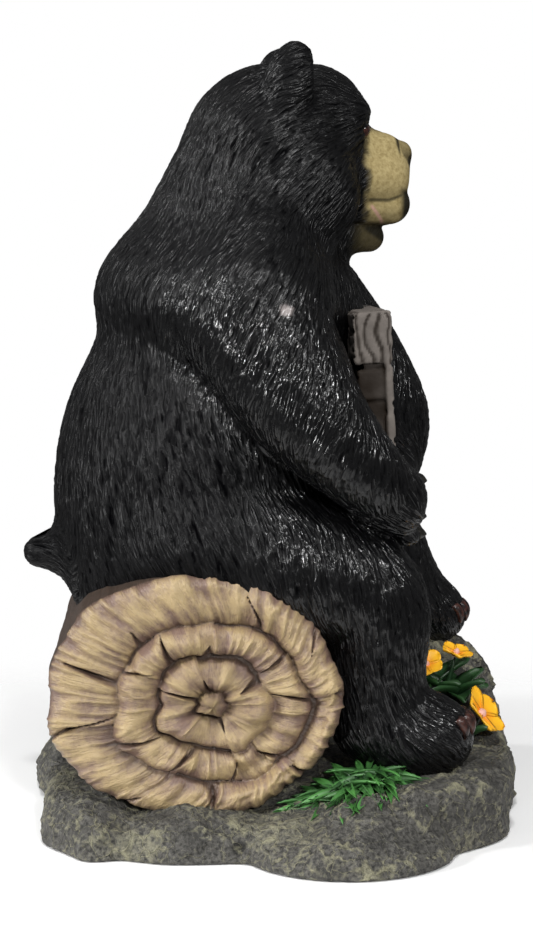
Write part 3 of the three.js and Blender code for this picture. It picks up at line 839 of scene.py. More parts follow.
class FIGURINE_OT_bear(bpy.types.Operator):
    """Builds the bear's head, trunk, arms and legs with carved fur"""
    bl_idname = "figurine.bear"
    bl_label = "Bear"

    def execute(self, context):
        sizes, colours = settings()
        coat = fur_paint(colours)
        rng = np.random.default_rng(SEED)
        self.head(sizes, coat, rng)
        self.body(sizes, coat, rng)
        return {"FINISHED"}

    def head(self, sizes, coat, rng):
        grid = Grid((-52, -54, 170), (52, 52, 254), sizes.head_cell)
        field, _ = bear_fields(grid)
        points, quads = skin(grid, cut_at_neck(grid, field, True))
        points = relaxed(points, quads, 2)
        tan, dark, pink = face_marks(points)
        bare = step(0.4, 0.95, np.maximum(np.maximum(tan, dark), pink))
        faces = triangles(points, quads)
        raised, marks = fur(points, quads, faces, sizes, 0.85, bare, rng)
        marks.update(tan=tan, dark=dark, pink=pink, dull=np.full(len(points), HEAD_DULL))
        new_piece("bear_head", raised, faces, "black_fur_paint", coat, marks)

    def body(self, sizes, coat, rng):
        grid = Grid((-70, -80, 12), (70, 86, 212), sizes.body_cell)
        field, parts = bear_fields(grid)
        points, quads = skin(grid, cut_at_neck(grid, field, False))
        points = relaxed(points, quads, 1)
        faces = triangles(points, quads)
        faces = faces[~out_of_sight(points)[faces].all(1)]
        raised, marks = fur(points, quads, faces, sizes, 1.0, np.zeros(len(points)), rng)
        depths = {name: grid.sample(values, points) for name, values in parts.items()}
        arms = np.minimum(depths["arm_right"], depths["arm_left"])
        legs = np.minimum(depths["leg_right"], depths["leg_left"])
        glossy = step(12, 0, arms - depths["trunk"])
        glossy = np.maximum(glossy, step(12, 0, legs - depths["trunk"]) * step(-14, 8, -points[:, 1]))
        trunk_dull = TRUNK_DULL * (1 - glossy)
        marks["dull"] = mix(trunk_dull, HEAD_DULL, step(-34, 0, above_neck(points)))
        ragged = np.linalg.norm(points - SCUFF_PLACE, axis=1) + 0.7 * lumpy(points, 1.2, 17)
        marks["scuff"] = step(SCUFF_RADIUS, 0.4 * SCUFF_RADIUS, ragged)
        shading = point_normals(raised, quads)
        middles = points[faces].mean(1)
        names = list(parts)
        owner = np.argmin([grid.sample(parts[name], middles) for name in names], axis=0)
        inside = {
            "leg_right": place(-31, 10, 84), "arm_right": place(-42, 8, 140),
            "leg_left": place(31, 12, 88), "arm_left": place(42, 36, 134),
        }
        shares = {"bear_" + name: (owner == names.index(name), apex) for name, apex in inside.items()}
        trunk = owner == names.index("trunk")
        shares["bear_back_right"] = (trunk & (middles[:, 0] < 0), place(-14, -18, 120))
        shares["bear_back_left"] = (trunk & (middles[:, 0] >= 0), place(14, -18, 120))
        for name, (chosen, apex) in shares.items():
            used, own_points, own_faces = closed_share(raised, faces, chosen, apex)
            lids = np.zeros((len(own_faces) - chosen.sum(), 3))
            own_marks = {
                mark: np.append(values[used], 0) if values.ndim == 1 else np.vstack([values[chosen], lids])
                for mark, values in marks.items()}
            piece = new_piece(name, own_points, own_faces, "black_fur_paint", coat, own_marks)
            piece.data.normals_split_custom_set_from_vertices(np.vstack([shading[used], (0, 0, 1)]).tolist())


# The face's eyes and all the claws

def ring_faces(rings, sides):
    """Faces round a row of rings of points, with a lid at each end."""
    faces = []
    for i in range(rings - 1):
        for k in range(sides):
            n = (k + 1) % sides
            faces.append((i * sides + k, i * sides + n, (i + 1) * sides + n, (i + 1) * sides + k))
    return faces + [tuple(reversed(range(sides))), tuple(range((rings - 1) * sides, rings * sides))]


def swept_horn(start, end, sag, radius, rings=8, sides=10):
    """A curved claw from a thick root to a blunt tip."""
    way = end - start
    out = unit(np.cross(way, np.cross(way, np.array([0.0, 0.0, 1.0]))))
    across = unit(np.cross(out, way))
    points = []
    for i in range(rings):
        t = i / (rings - 1)
        centre = start + way * t - out * sag * 4 * t * (1 - t)
        girth = radius * (1 - 0.62 * t ** 2.6) * (1 - 0.6 * max(0, t - 0.8) / 0.2)
        for k in range(sides):
            a = 2 * math.pi * k / sides
            points.append(centre + girth * (math.cos(a) * across + 0.85 * math.sin(a) * out))
    return points, ring_faces(rings, sides)


def gathered(parts):
    """Several (points, faces) as one, with faces pointing out."""
    points, faces, base = [], [], 0
    for part_points, part_faces in parts:
        part_points = np.asarray(part_points)
        volume = 0.0
        for face in part_faces:
            for k in range(1, len(face) - 1):
                a, b, c = part_points[face[0]], part_points[face[k]], part_points[face[k + 1]]
                volume += float(a @ np.cross(b, c))
        for face in part_faces:
            ordered = face if volume > 0 else tuple(reversed(face))
            faces.append(tuple(v + base for v in ordered))
        points.extend(part_points)
        base += len(part_points)
    return np.array(points), faces


def claw_paint(name, dark, light):
    """Satin enamel on the claws, streaked in lumps of about 2 mm."""
    made, tree, shader = material(name)
    at = node(tree, "ShaderNodeTexCoord", None, "Object")
    streak = node(tree, "ShaderNodeTexNoise", Vector=at, Scale=1 / (2 * MM), Detail=3.0)
    streak = node(tree, "ShaderNodeMapRange", Value=streak, From_Min=0.35, From_Max=0.68)
    colour = node(tree, *COLOUR_MIX, i0=streak, i6=tuple(dark), i7=tuple(light))
    tree.links.new(colour, shader.inputs["Base Color"])
    shader.inputs["Roughness"].default_value = 0.32
    return made


def eye_paint(colours):
    """Gloss brown enamel that darkens in lumps of about 2 mm, for a wet look."""
    made, tree, shader = material("gloss_brown_enamel_eye")
    at = node(tree, "ShaderNodeTexCoord", None, "Object")
    depth = node(tree, "ShaderNodeTexNoise", Vector=at, Scale=1 / (2 * MM), Detail=2.0)
    depth = node(tree, "ShaderNodeMapRange", Value=depth, From_Min=0.4, From_Max=0.7)
    colour = node(tree, *COLOUR_MIX, i0=depth, i6=tuple(colours.fur_groove), i7=tuple(colours.claw))
    tree.links.new(colour, shader.inputs["Base Color"])
    shader.inputs["Roughness"].default_value = 0.12
    return made


EYE_ACROSS, EYE_FORWARD, EYE_UP, EYE_RADIUS = 12.4, 29.6, 222.6, 2.9


class FIGURINE_OT_claws_and_eyes(bpy.types.Operator):
    """Builds the claws of paws and feet and the two eyes"""
    bl_idname = "figurine.claws_and_eyes"
    bl_label = "Claws and Eyes"

    def execute(self, context):
        _, colours = settings()
        toe_claws, paw_claws = [], []
        for s in (-1, 1):
            for i in range(TOES):
                toe = toe_place(s, i)
                toe_claws.append(swept_horn(toe + place(0, 4.0, 4.2), toe + place(0, 6.9, -2.4), 1.0, 2.4))
            for finger in range(FINGERS):
                up = FINGER_LOW + FINGER_PITCH * finger
                root, tip = place(s * 33, 43.0, up + 0.4), place(s * 31, 49.2, up - 0.2)
                paw_claws.append(swept_horn(root, tip, 0.3, 2.9))
        brown = claw_paint("satin_red_brown_enamel_claw", colours.fur_groove, colours.claw)
        new_piece("toe_claws", *gathered(toe_claws), "claw_paint", brown)
        black = claw_paint("satin_black_enamel_claw", colours.fur_groove, colours.lip_dark)
        new_piece("paw_claws", *gathered(paw_claws), "claw_paint", black)
        eyes = []
        for s in (-1, 1):
            centre = place(s * EYE_ACROSS, EYE_FORWARD, EYE_UP)
            rings, sides, radius = 12, 20, EYE_RADIUS
            shell = [centre + (0, 0, radius)]
            for i in range(1, rings):
                polar = math.pi * i / rings
                for k in range(sides):
                    a = 2 * math.pi * k / sides
                    spot = (math.sin(polar) * math.cos(a), math.sin(polar) * math.sin(a), math.cos(polar))
                    shell.append(centre + radius * np.array(spot))
            shell.append(centre - (0, 0, radius))
            quads = [(0, 1 + k, 1 + (k + 1) % sides) for k in range(sides)]
            for i in range(rings - 2):
                for k in range(sides):
                    a, b = 1 + i * sides + k, 1 + i * sides + (k + 1) % sides
                    quads.append((a, a + sides, b + sides, b))
            last = 1 + (rings - 2) * sides
            quads += [(last + k, len(shell) - 1, last + (k + 1) % sides) for k in range(sides)]
            eyes.append((shell, quads))
        points, faces = gathered(eyes)
        new_piece("eyes", points, faces, "claw_paint", eye_paint(colours))
        return {"FINISHED"}


# The log

LOG_HALF_LENGTH = 56
LOG_FORWARD, LOG_UP = -25.0, 47.8
LOG_RADIUS_FORWARD, LOG_RADIUS_UP = 45.8, 38.4
# Rings of the sawn end, as shares of the radius, and into how many blocks each has split
RING_EDGES = (0.0, 0.1, 0.4, 0.665, 1.0)
RING_BLOCKS = (1, 4, 9, 9)
# The rings' middle lies forward of and below the log's
KNOT_FORWARD, KNOT_UP = 5.5, -2.4
RING_TALL = 5.4
PLEAT_PITCH = 2.2
# Mean radius, and how many points go round the log and rows along its near end, its bark and its far end
LOG_GIRTH = 42
LOG_SIDES, NEAR_ROWS, BARK_ROWS, FAR_ROWS = 460, 108, 26, 20


def log_end(share, angle, plain):
    """Round one ring of the carved end: its height, its crests and the painted shade in its grooves and
    cracks.
    """
    circle = np.column_stack([np.cos(angle), np.sin(angle), 0 * angle])
    flat = LOG_GIRTH * share * circle
    wobble = 0.03 * lumpy(2.2 * circle, 1.0, 5) + 0.016 * lumpy(6 * circle, 1.0, 6)
    wobble *= min(1, 5 * share) * (1 - step(0.85, 1.0, share))
    swell = 1.4 * lumpy(flat, 8.0, 33) + 0.8 * lumpy(flat, 3.6, 34)
    height = np.zeros_like(angle)
    crest = np.zeros_like(angle)
    crack = np.zeros_like(angle)
    for k, blocks in enumerate(RING_BLOCKS):
        rng = np.random.default_rng(40 + k)
        edges = (np.arange(blocks) + rng.uniform(-0.32, 0.32, blocks)) * 2 * math.pi / blocks
        edges = np.sort(edges % (2 * math.pi))
        own = np.searchsorted(edges, angle) % blocks
        lift = rng.uniform(-3.0, 1.0, blocks)[own]
        lean = rng.uniform(-2.2, 2.2, blocks)[own]
        low = RING_EDGES[k] + rng.uniform(-0.018, 0.02, blocks)[own] + wobble
        high = RING_EDGES[k + 1] + rng.uniform(-0.03, 0.016, blocks)[own] + wobble
        if k == 0:
            low = -high
        if k == len(RING_BLOCKS) - 1:
            high = np.ones_like(angle) * 1.004
        across = (share - low) / (high - low)
        dome = np.clip(1 - np.abs(2 * across - 1) ** 2.2, 0, 1) ** 0.6
        middle = LOG_GIRTH * (RING_EDGES[k] + RING_EDGES[k + 1]) / 2
        drift = np.full_like(angle, 4 * share + 7 * k)
        turns = middle / PLEAT_PITCH * circle + np.column_stack([0 * angle, 0 * angle, drift])
        pleat = (1 - np.abs(lumpy(turns, 1.0, 50 + k))) ** 1.5
        split = np.zeros_like(angle)
        for edge in edges if blocks > 1 else ():
            reach, from_rim, wide = rng.uniform(0.3, 1.3), rng.uniform() < 0.6, rng.uniform(0.5, 2.6)
            run = (1 - across) if from_rim else across
            bend = 0.22 * (across - 0.5) * math.sin(9 * edge)
            gap = np.abs((angle - edge + bend + math.pi) % (2 * math.pi) - math.pi) * LOG_GIRTH * share
            wide = wide * np.clip(1 - run / reach, 0, 1)
            split = np.maximum(split, np.clip(1.1 - gap / np.maximum(wide, 0.05), 0, 1) * (wide > 0.1))
        roll = (RING_TALL + lift + lean * (across - 0.5) + swell) * dome
        roll = roll + (2.1 * pleat - 1.1) * dome ** 0.5 * (1 - 0.45 * dome) - 3.6 * split * dome
        here = (dome > 0) & (roll > height)
        height = np.where(here, roll, height)
        crest = np.where(here, (0.55 * pleat + 0.45 * dome ** 2) * (1 - split), crest)
        crack = np.where(here, split, crack)
    # Painted shade: dark in the cracks and towards the bottoms of the grooves between the rolls
    wash_and_shade = np.maximum(0.85 * crack ** 0.7, 0.6 * np.exp(-height / 0.9) + 0.35 * np.exp(-height / 2.6))
    if plain:
        # The far end's one groove gets painted shade too
        groove = np.exp(-((share - RING_EDGES[2]) / 0.03) ** 2)
        height = RING_TALL - 2.0 * groove + 0.3 * crest
        wash_and_shade = np.full_like(angle, 0.6 * groove)
    return height, crest, wash_and_shade


def log_paint(colours):
    """Ochre dry-brushed over mauve-brown on pleated end grain, with painted shade in the grooves and cracks.
    """
    made, tree, shader = material("dry_brushed_ochre_log")
    names = ("crest", "wash_and_shade", "bark", "round_a", "round_b", "outward")
    crest, wash_and_shade, bark, round_a, round_b, outward = [
        node(tree, "ShaderNodeAttribute", {"attribute_name": name}, "Fac") for name in names]
    at = node(tree, "ShaderNodeTexCoord", None, "Object")
    # Patches of about 9 mm that took more or less of the ochre, and brush streaks of about 1.5 mm
    patch = node(tree, "ShaderNodeTexNoise", Vector=at, Scale=1 / (9 * MM), Detail=4.0)
    streak = node(tree, "ShaderNodeTexNoise", Vector=at, Scale=1 / (1.5 * MM), Detail=4.0, Roughness=0.65)
    # Radial fibres about 0.9 mm apart
    drawn = node(tree, "ShaderNodeCombineXYZ", X=round_a, Y=round_b, Z=outward)
    fibre = node(tree, "ShaderNodeTexNoise", Vector=drawn, Scale=1 / 0.9, Detail=2.0)
    fibre = node(tree, "ShaderNodeMath", {"operation": "SUBTRACT"}, i0=fibre, i1=0.5)
    fibre = node(tree, "ShaderNodeMath", {"operation": "ABSOLUTE"}, i0=fibre)
    fibre = node(tree, "ShaderNodeMapRange", Value=fibre, From_Max=0.2, To_Min=1.0, To_Max=0.0)
    crest = node(tree, *MULTIPLY_ADD, i0=fibre, i1=0.22, i2=crest)
    brushed = node(tree, *MULTIPLY_ADD, i0=patch, i1=2.0, i2=crest)
    brushed = node(tree, "ShaderNodeMath", {"operation": "ADD"}, i0=brushed, i1=streak)
    brushed = node(tree, "ShaderNodeMapRange", Value=brushed, From_Min=1.85, From_Max=2.65)
    colour = node(tree, *COLOUR_MIX, i0=brushed, i6=tuple(colours.log_mid), i7=tuple(colours.log_ridge))
    # Painted shade: dark brown in the grooves and cracks
    deep = node(tree, "ShaderNodeMapRange", Value=wash_and_shade, From_Min=0.05, From_Max=1.0)
    colour = node(tree, *COLOUR_MIX, i0=deep, i6=colour, i7=tuple(colours.log_shade_and_bark_brown))
    flaky = node(tree, "ShaderNodeMapRange", Value=streak, From_Min=0.4, From_Max=0.7)
    dark = node(tree, *COLOUR_MIX, i0=flaky, i6=tuple(colours.log_shade_and_bark_brown), i7=tuple(colours.bark))
    colour = node(tree, *COLOUR_MIX, i0=bark, i6=colour, i7=dark)
    tree.links.new(colour, shader.inputs["Base Color"])
    shader.inputs["Roughness"].default_value = 0.46
    rough = node(tree, *MULTIPLY_ADD, i0=fibre, i1=0.4, i2=streak)
    bump = node(tree, "ShaderNodeBump", Strength=0.9, Distance=0.4 * MM, Height=rough)
    tree.links.new(bump, shader.inputs["Normal"])
    return made


class FIGURINE_OT_log(bpy.types.Operator):
    """Builds the sawn log with its carved rings and bark"""
    bl_idname = "figurine.log"
    bl_label = "Log"

    def execute(self, context):
        _, colours = settings()
        sides = LOG_SIDES
        angle = np.arange(sides) * 2 * math.pi / sides
        near_shares = np.linspace(0.01, 1.0, NEAR_ROWS)
        bark_rows = np.linspace(-1, 1, BARK_ROWS)
        far_shares = np.linspace(0.995, 0.02, FAR_ROWS)
        scallop = 1 + 0.014 * np.cos(5 * angle + 0.7) + 0.01 * np.cos(11 * angle)
        rows = []
        marks = {"crest": [], "wash_and_shade": [], "bark": [], "round_a": [], "round_b": [], "outward": []}
        for share in near_shares:
            height, crest, wash_and_shade = log_end(share, angle, False)
            frill = 1 + 0.035 * (crest - 0.5) * step(0.7, 1.0, share)
            rows.append((share * frill, -LOG_HALF_LENGTH + RING_TALL - height))
            self.note(marks, angle, share, crest, wash_and_shade, 0.0)
        for row in bark_rows:
            along = row * (LOG_HALF_LENGTH - RING_TALL - 1.5)
            rows.append((1.0 + self.bark_relief(angle, along) / LOG_GIRTH, np.full(sides, along)))
            self.note(marks, angle, 1.0, np.zeros(sides), np.zeros(sides), 1.0)
        for share in far_shares:
            height, crest, wash_and_shade = log_end(share, angle, True)
            roll = RING_TALL * step(0.93, 1.0, share) ** 2
            rows.append((np.full(sides, share), LOG_HALF_LENGTH - RING_TALL + height - roll))
            self.note(marks, angle, share, 0.7 * crest, wash_and_shade, step(0.97, 1.0, share))
        points = []
        for share, along in rows:
            shift = 1 - step(0.66, 1.0, share)
            forward = LOG_FORWARD + KNOT_FORWARD * shift
            forward = forward + LOG_RADIUS_FORWARD * share * scallop * np.cos(angle)
            up = LOG_UP + KNOT_UP * shift + LOG_RADIUS_UP * share * scallop * np.sin(angle)
            points.append(np.column_stack([along, -forward, up]))
        count = len(points)
        points = np.concatenate(points)
        i = np.arange(count - 1)[:, None] * sides
        k = np.arange(sides)[None, :]
        n = (k + 1) % sides
        quads = np.stack([i + k, i + k + sides, i + n + sides, i + n], axis=-1).reshape(-1, 4)
        hubs = np.array([points[:sides].mean(0), points[-sides:].mean(0)])
        ring = np.arange(sides)
        ahead = (ring + 1) % sides
        last = (count - 1) * sides
        caps = [
            np.column_stack([ring, ahead, np.full(sides, len(points))]),
            np.column_stack([last + ahead, last + ring, np.full(sides, len(points) + 1)]),
        ]
        faces = np.vstack([triangles(points, quads)] + caps)
        points = np.vstack([points, hubs])
        layers = {}
        for name, values in marks.items():
            layers[name] = np.concatenate(values + [values[0][:1], values[-1][:1]])
        new_piece("log", points, faces, "log_paint", log_paint(colours), layers)
        return {"FINISHED"}

    def note(self, marks, angle, share, crest, wash_and_shade, bark):
        marks["round_a"].append(30 * np.cos(angle))
        marks["round_b"].append(30 * np.sin(angle))
        marks["outward"].append(np.full(len(angle), LOG_GIRTH * share / 5))
        marks["crest"].append(crest)
        marks["wash_and_shade"].append(wash_and_shade)
        marks["bark"].append(np.full(len(crest), float(bark)))

    def bark_relief(self, angle, along):
        """Long furrows of the bark, in millimetres."""
        drawn = np.full(len(angle), along / 5)
        at = np.column_stack([np.cos(angle) * LOG_GIRTH, np.sin(angle) * LOG_GIRTH, drawn])
        return 1.2 * layered(at, 7, 3, 31) - 0.3


# The rock base

BASE_HALF_ACROSS, BASE_HALF_FORWARD, BASE_FORWARD = 68, 76.5, 3.5
BASE_SQUARENESS = 3.6
# Top of the slab, which rises towards the front and dips beside the log
BASE_TOP, BASE_RISE, BASE_DIP = 15.5, 6.0, 5.8
# Boulders: across, forward, up, then half sizes across, forward, up
BOULDERS = [
    (40, 62, 15.5, 29, 26, 35), (8, 67, 9, 22, 16, 24), (-24, 57, 3, 26, 18, 15), (-58, 22, 0, 30, 34, 16),
    (22, -61, 4, 36, 18, 19), (-42, -55, 3, 24, 18, 14), (52, -26, 4, 19, 36, 15), (52, 22, 6, 20, 26, 17),
    (-52, -24, 1, 18, 28, 13),
]


# Pits in the rock: place across, forward, up, then radius
PITS = [((-58, -57, 17), 4.5), ((-68, -46.5, 7), 4.5), ((-68, -12, 5), 3.0), ((-66, 60, 8), 3.5)]


def base_top(across, forward):
    dip = BASE_DIP * step(40, 52, -across) * (1 - step(-12, 30, forward))
    return BASE_TOP + BASE_RISE * step(-12, 52, forward) - dip


def slab():
    """The base's rounded, rough-edged slab."""
    def distance(x, y, z):
        across, forward = x / BASE_HALF_ACROSS, (-y - BASE_FORWARD) / BASE_HALF_FORWARD
        angle = np.arctan2(across, forward)
        rough = 1 + 0.016 * np.cos(7 * angle + 0.6) + 0.012 * np.cos(13 * angle + 2)
        power = BASE_SQUARENESS
        reach = (np.abs(across) ** power + np.abs(forward) ** power) ** (1 / power)
        side = (reach / rough - 1) * BASE_HALF_ACROSS
        return -join(-side, base_top(x, -y) - z, 6)

    return Form(distance, (-72, -84, -2), (72, 78, BASE_TOP + BASE_RISE))


def boulder(row, seed):
    """A chunk of rock: an ellipsoid cut by flat faces."""
    across, forward, up, *half = row
    rng = np.random.default_rng(seed)
    ways = unit(rng.normal(size=(15, 3)))
    reach = rng.uniform(0.84, 0.98, len(ways))
    centre = place(across, forward, up)

    def distance(x, y, z):
        u, v, w = (x - centre[0]) / half[0], (y - centre[1]) / half[1], (z - centre[2]) / half[2]
        far = np.sqrt(u * u + v * v + w * w) - 1.0
        for way, cut in zip(ways, reach):
            far = join(-far, cut - (u * way[0] + v * way[1] + w * way[2]), 0.06) * -1
        return far * min(half)

    return Form(distance, centre - np.array(half), centre + np.array(half))


def rock_paint(colours):
    """Grey-brown matt paint on cast rock, dark in its hollows and dry-brushed olive along its veins."""
    made, tree, shader = material("dry_brushed_cast_rock")
    names = ("vein", "hollow")
    vein, hollow = [node(tree, "ShaderNodeAttribute", {"attribute_name": name}, "Fac") for name in names]
    at = node(tree, "ShaderNodeTexCoord", None, "Object")
    # Patches of about 26 mm that took more or less of the olive, and cast grain of about 1.4 mm
    patch = node(tree, "ShaderNodeTexNoise", Vector=at, Scale=1 / (26 * MM), Detail=2.0)
    grain = node(tree, "ShaderNodeTexNoise", Vector=at, Scale=1 / (1.4 * MM), Detail=4.0, Roughness=0.7)
    speck = node(tree, "ShaderNodeMapRange", Value=grain, From_Min=0.36, From_Max=0.6)
    # Thin crackle lines between cells of about 6 mm, bent by the grain
    bent = node(tree, "ShaderNodeTexNoise", None, "Color", Vector=at, Scale=1 / (5 * MM), Detail=3.0)
    bent = node(
        tree, "ShaderNodeVectorMath", {"operation": "MULTIPLY_ADD"}, i0=bent, i1=3 * (5 * MM,), i2=at)
    crackle = node(
        tree, "ShaderNodeTexVoronoi", {"feature": "DISTANCE_TO_EDGE"}, "Distance", Vector=bent,
        Scale=1 / (6 * MM))
    crackle = node(tree, "ShaderNodeMapRange", Value=crackle, From_Max=0.04, To_Min=1.0, To_Max=0.0)
    vein = node(tree, *MULTIPLY_ADD, i0=crackle, i1=0.55, i2=vein)
    stone = node(tree, *COLOUR_MIX, i0=speck, i6=tuple(colours.rock_groove), i7=tuple(colours.rock))
    stone = node(tree, *COLOUR_MIX, i0=hollow, i6=stone, i7=tuple(colours.rock_groove))
    brushed = node(tree, *MULTIPLY_ADD, i0=vein, i1=0.7, i2=patch)
    brushed = node(tree, *MULTIPLY_ADD, i0=grain, i1=0.8, i2=brushed)
    brushed = node(tree, "ShaderNodeMapRange", Value=brushed, From_Min=0.98, From_Max=1.55)
    stone = node(tree, *COLOUR_MIX, i0=brushed, i6=stone, i7=tuple(colours.rock_edge))
    tree.links.new(stone, shader.inputs["Base Color"])
    shader.inputs["Roughness"].default_value = 0.68
    rough = node(tree, *MULTIPLY_ADD, i0=crackle, i1=0.25, i2=grain)
    bump = node(tree, "ShaderNodeBump", Strength=1.0, Distance=1.5 * MM, Height=rough)
    tree.links.new(bump, shader.inputs["Normal"])
    return made


class FIGURINE_OT_rock(bpy.types.Operator):
    """Builds the rock base"""
    bl_idname = "figurine.rock"
    bl_label = "Rock Base"

    def execute(self, context):
        sizes, colours = settings()
        grid = Grid((-94, -94, -3), (80, 86, 56), sizes.rock_cell)
        field = grid.blank()
        grid.add(field, slab(), 1)
        for k, row in enumerate(BOULDERS):
            grid.add(field, boulder(row, 100 + k), 3)
        floor = -grid.axes[2][None, None, :]
        points, quads = skin(grid, np.maximum(field, floor))
        points = relaxed(points, quads, 1)
        normals = point_normals(points, quads)
        bent = points + 2.2 * np.stack([lumpy(points, 6, 90 + k) for k in range(3)], axis=1)
        first, second, number = chips(bent, 11, 60)
        fine_first, fine_second, _ = chips(bent, 5, 70)
        strength = step(-0.5, 0.5, layered(points, 20, 2, 84))
        vein = np.maximum(
            step(0.06, 0.0, second - first) * mix(0.2, 1.0, strength),
            step(0.08, 0.0, fine_second - fine_first) * mix(0.7, 0.2, strength))
        hollow = step(0.55, 0.15, first) * mix(0.2, 0.7, number)
        for spot, reach in PITS:
            away = np.linalg.norm(points - place(*spot), axis=1) + 0.8 * lumpy(points, 2, 88)
            hollow = np.maximum(hollow, 2.2 * step(reach, 0.3 * reach, away))
        rough = 1 - np.abs(layered(points, 5, 2, 86))
        relief = 0.6 * vein - 0.8 * hollow + 1.7 * (number - 0.5) + 1.8 * layered(points, 12, 3, 80)
        relief += 1.1 * rough - 0.8
        free = step(0.3, 3.0, points[:, 2])
        raised = points + normals * (relief * free)[:, None]
        raised[:, 2] = np.maximum(raised[:, 2], 0)
        marks = {"vein": vein, "hollow": hollow}
        new_piece("rock_base", raised, triangles(points, quads), "rock_paint", rock_paint(colours), marks)
        return {"FINISHED"}


# The board

BOARD_HALF_WIDTH = 40
BOARD_TOP, BOARD_BOTTOM = 166, 98
BOARD_FRONT, BOARD_MIDDLE_UP = 38, 132
BOARD_LEAN = math.radians(2.6)
SHEET_THICK = 2.8
TOP_PLANK_TALL, TOP_PLANK_THICK = 16.5, 12
LOW_PLANK_TALL, LOW_PLANK_THICK, PLANK_PITCH, PLANK_GAP = 9.6, 11, 11.6, 1.6
# How far each low plank stops short of the sheet's edges
LOW_PLANK_INSETS = (0.8, 2.5, 1.2, 2.0)
BOARD_CELL = 0.6
# Cracks down the end of the top plank
PLANK_CRACKS, CRACK_PITCH = 4, 2.9


def block(low, high, soft):
    """A box with rounded edges, between two corners given as across, forward, up."""
    a, b = place(*low), place(*high)
    centre, half = (a + b) / 2, np.abs(b - a) / 2 - soft

    def distance(x, y, z):
        q = [np.abs(value - middle) - reach for value, middle, reach in zip((x, y, z), centre, half)]
        outer = np.sqrt(sum(np.maximum(value, 0) ** 2 for value in q))
        inner = np.minimum(np.maximum(np.maximum(q[0], q[1]), q[2]), 0)
        return outer + inner - soft

    return Form(distance, np.minimum(a, b), np.maximum(a, b))


def board_paint(colours):
    """Weathered grey paint on carved planks, with a dark brown wash in grain and joints and painted shade on
    the low planks' ends.
    """
    made, tree, shader = material("grey_board_with_wash_and_painted_shade")
    wash_and_shade = node(tree, "ShaderNodeAttribute", {"attribute_name": "wash_and_shade"}, "Fac")
    at = node(tree, "ShaderNodeTexCoord", None, "Object")
    # Paint clouds of about 4 mm
    cloud = node(tree, "ShaderNodeTexNoise", Vector=at, Scale=1 / (4 * MM), Detail=5.0, Roughness=0.65)
    cloudy = node(tree, "ShaderNodeMapRange", Value=cloud, From_Min=0.35, From_Max=0.68)
    pale = tuple(1.35 * c for c in colours.board[:3]) + (1.0,)
    grey = node(tree, *COLOUR_MIX, i0=cloudy, i6=tuple(colours.board), i7=pale)
    # The dark brown stands for the wash in grain and joints and for the painted shade on the low planks
    colour = node(tree, *COLOUR_MIX, i0=wash_and_shade, i6=grey, i7=tuple(colours.board_groove_and_shade))
    tree.links.new(colour, shader.inputs["Base Color"])
    shader.inputs["Roughness"].default_value = 0.7
    shader.inputs["Specular IOR Level"].default_value = 0.2
    bump = node(tree, "ShaderNodeBump", Strength=0.6, Distance=0.4 * MM, Height=cloud)
    tree.links.new(bump, shader.inputs["Normal"])
    return made


class FIGURINE_OT_board(bpy.types.Operator):
    """Builds the bare plank board in the bear's paws"""
    bl_idname = "figurine.board"
    bl_label = "Board"

    def execute(self, context):
        _, colours = settings()
        wide, front = BOARD_HALF_WIDTH, BOARD_FRONT
        low = (-wide - 2, -front - 2, BOARD_BOTTOM - 2)
        grid = Grid(low, (wide + 2, -front + 16, BOARD_TOP + 2), BOARD_CELL)
        field = grid.blank()
        top_plank = BOARD_TOP - TOP_PLANK_TALL
        forms = [
            block((-wide, front, BOARD_BOTTOM), (wide, front - SHEET_THICK, BOARD_TOP), 0.8),
            block((-wide, front, top_plank), (wide, front - TOP_PLANK_THICK, BOARD_TOP), 1.2),
            block((1.8 - wide, front - 1, BOARD_BOTTOM), (wide - 1.8, front - 9, BOARD_TOP - 4), 0.8),
        ]
        joints = [top_plank]
        for i, inset in enumerate(LOW_PLANK_INSETS):
            up = top_plank - PLANK_PITCH * i - PLANK_GAP
            low = (inset - wide, front, up - LOW_PLANK_TALL)
            forms.append(block(low, (wide - inset, front - LOW_PLANK_THICK, up), 1.0))
            joints.append(up - LOW_PLANK_TALL - 1)
        for form in forms:
            grid.add(field, form, 0.4)
        points, quads = skin(grid, field)
        normals = point_normals(points, quads)
        across, forward, up = points[:, 0], -points[:, 1], points[:, 2]
        ends = step(0.5, 0.9, np.abs(normals[:, 0]))
        swing = lumpy(points, 6, 54)
        level = lumpy(np.column_stack([across / 22, forward / 6, (up + swing) / 2.1]), 1.0, 52)
        grain = np.abs(level)
        wash_and_shade = 0.7 * step(0.1, 0.03, grain) * (ends < 0.5)
        for k in range(PLANK_CRACKS):
            crack = front - 1.6 - CRACK_PITCH * k + 0.5 * np.sin(up / (1.5 + 0.4 * k) + 2.2 * k) + 1.4 * swing
            wash_and_shade = np.maximum(wash_and_shade, 0.9 * ends * step(0.65, 0.25, np.abs(forward - crack)) * (up > top_plank))
        for joint in joints:
            wash_and_shade = np.maximum(wash_and_shade, step(1.1, 0.4, np.abs(up - joint)) * (normals[:, 1] < -0.5))
        # Painted shade on the low planks' ends, below the top plank and behind the sheet's front strip
        shade = step(top_plank + 0.4, top_plank - 0.6, up) * step(front - 1.8, front - 2.8, forward)
        shade *= 0.9 + 0.25 * lumpy(points, 5, 55)
        relief = -0.6 * wash_and_shade + 0.25 * lumpy(points, 3, 53)
        raised = points + normals * relief[:, None]
        turn = np.array(Matrix.Rotation(-BOARD_LEAN, 3, "X"))
        pivot = place(0, front, BOARD_MIDDLE_UP)
        raised = (raised - pivot) @ turn.T + pivot
        # One mark carries the grain, cracks and joints and the painted shade
        marks = {"wash_and_shade": np.clip(np.maximum(wash_and_shade, shade), 0, 1)}
        new_piece("board", raised, triangles(points, quads), "board_paint", board_paint(colours), marks)
        return {"FINISHED"}


# Flowers, leaves and grass

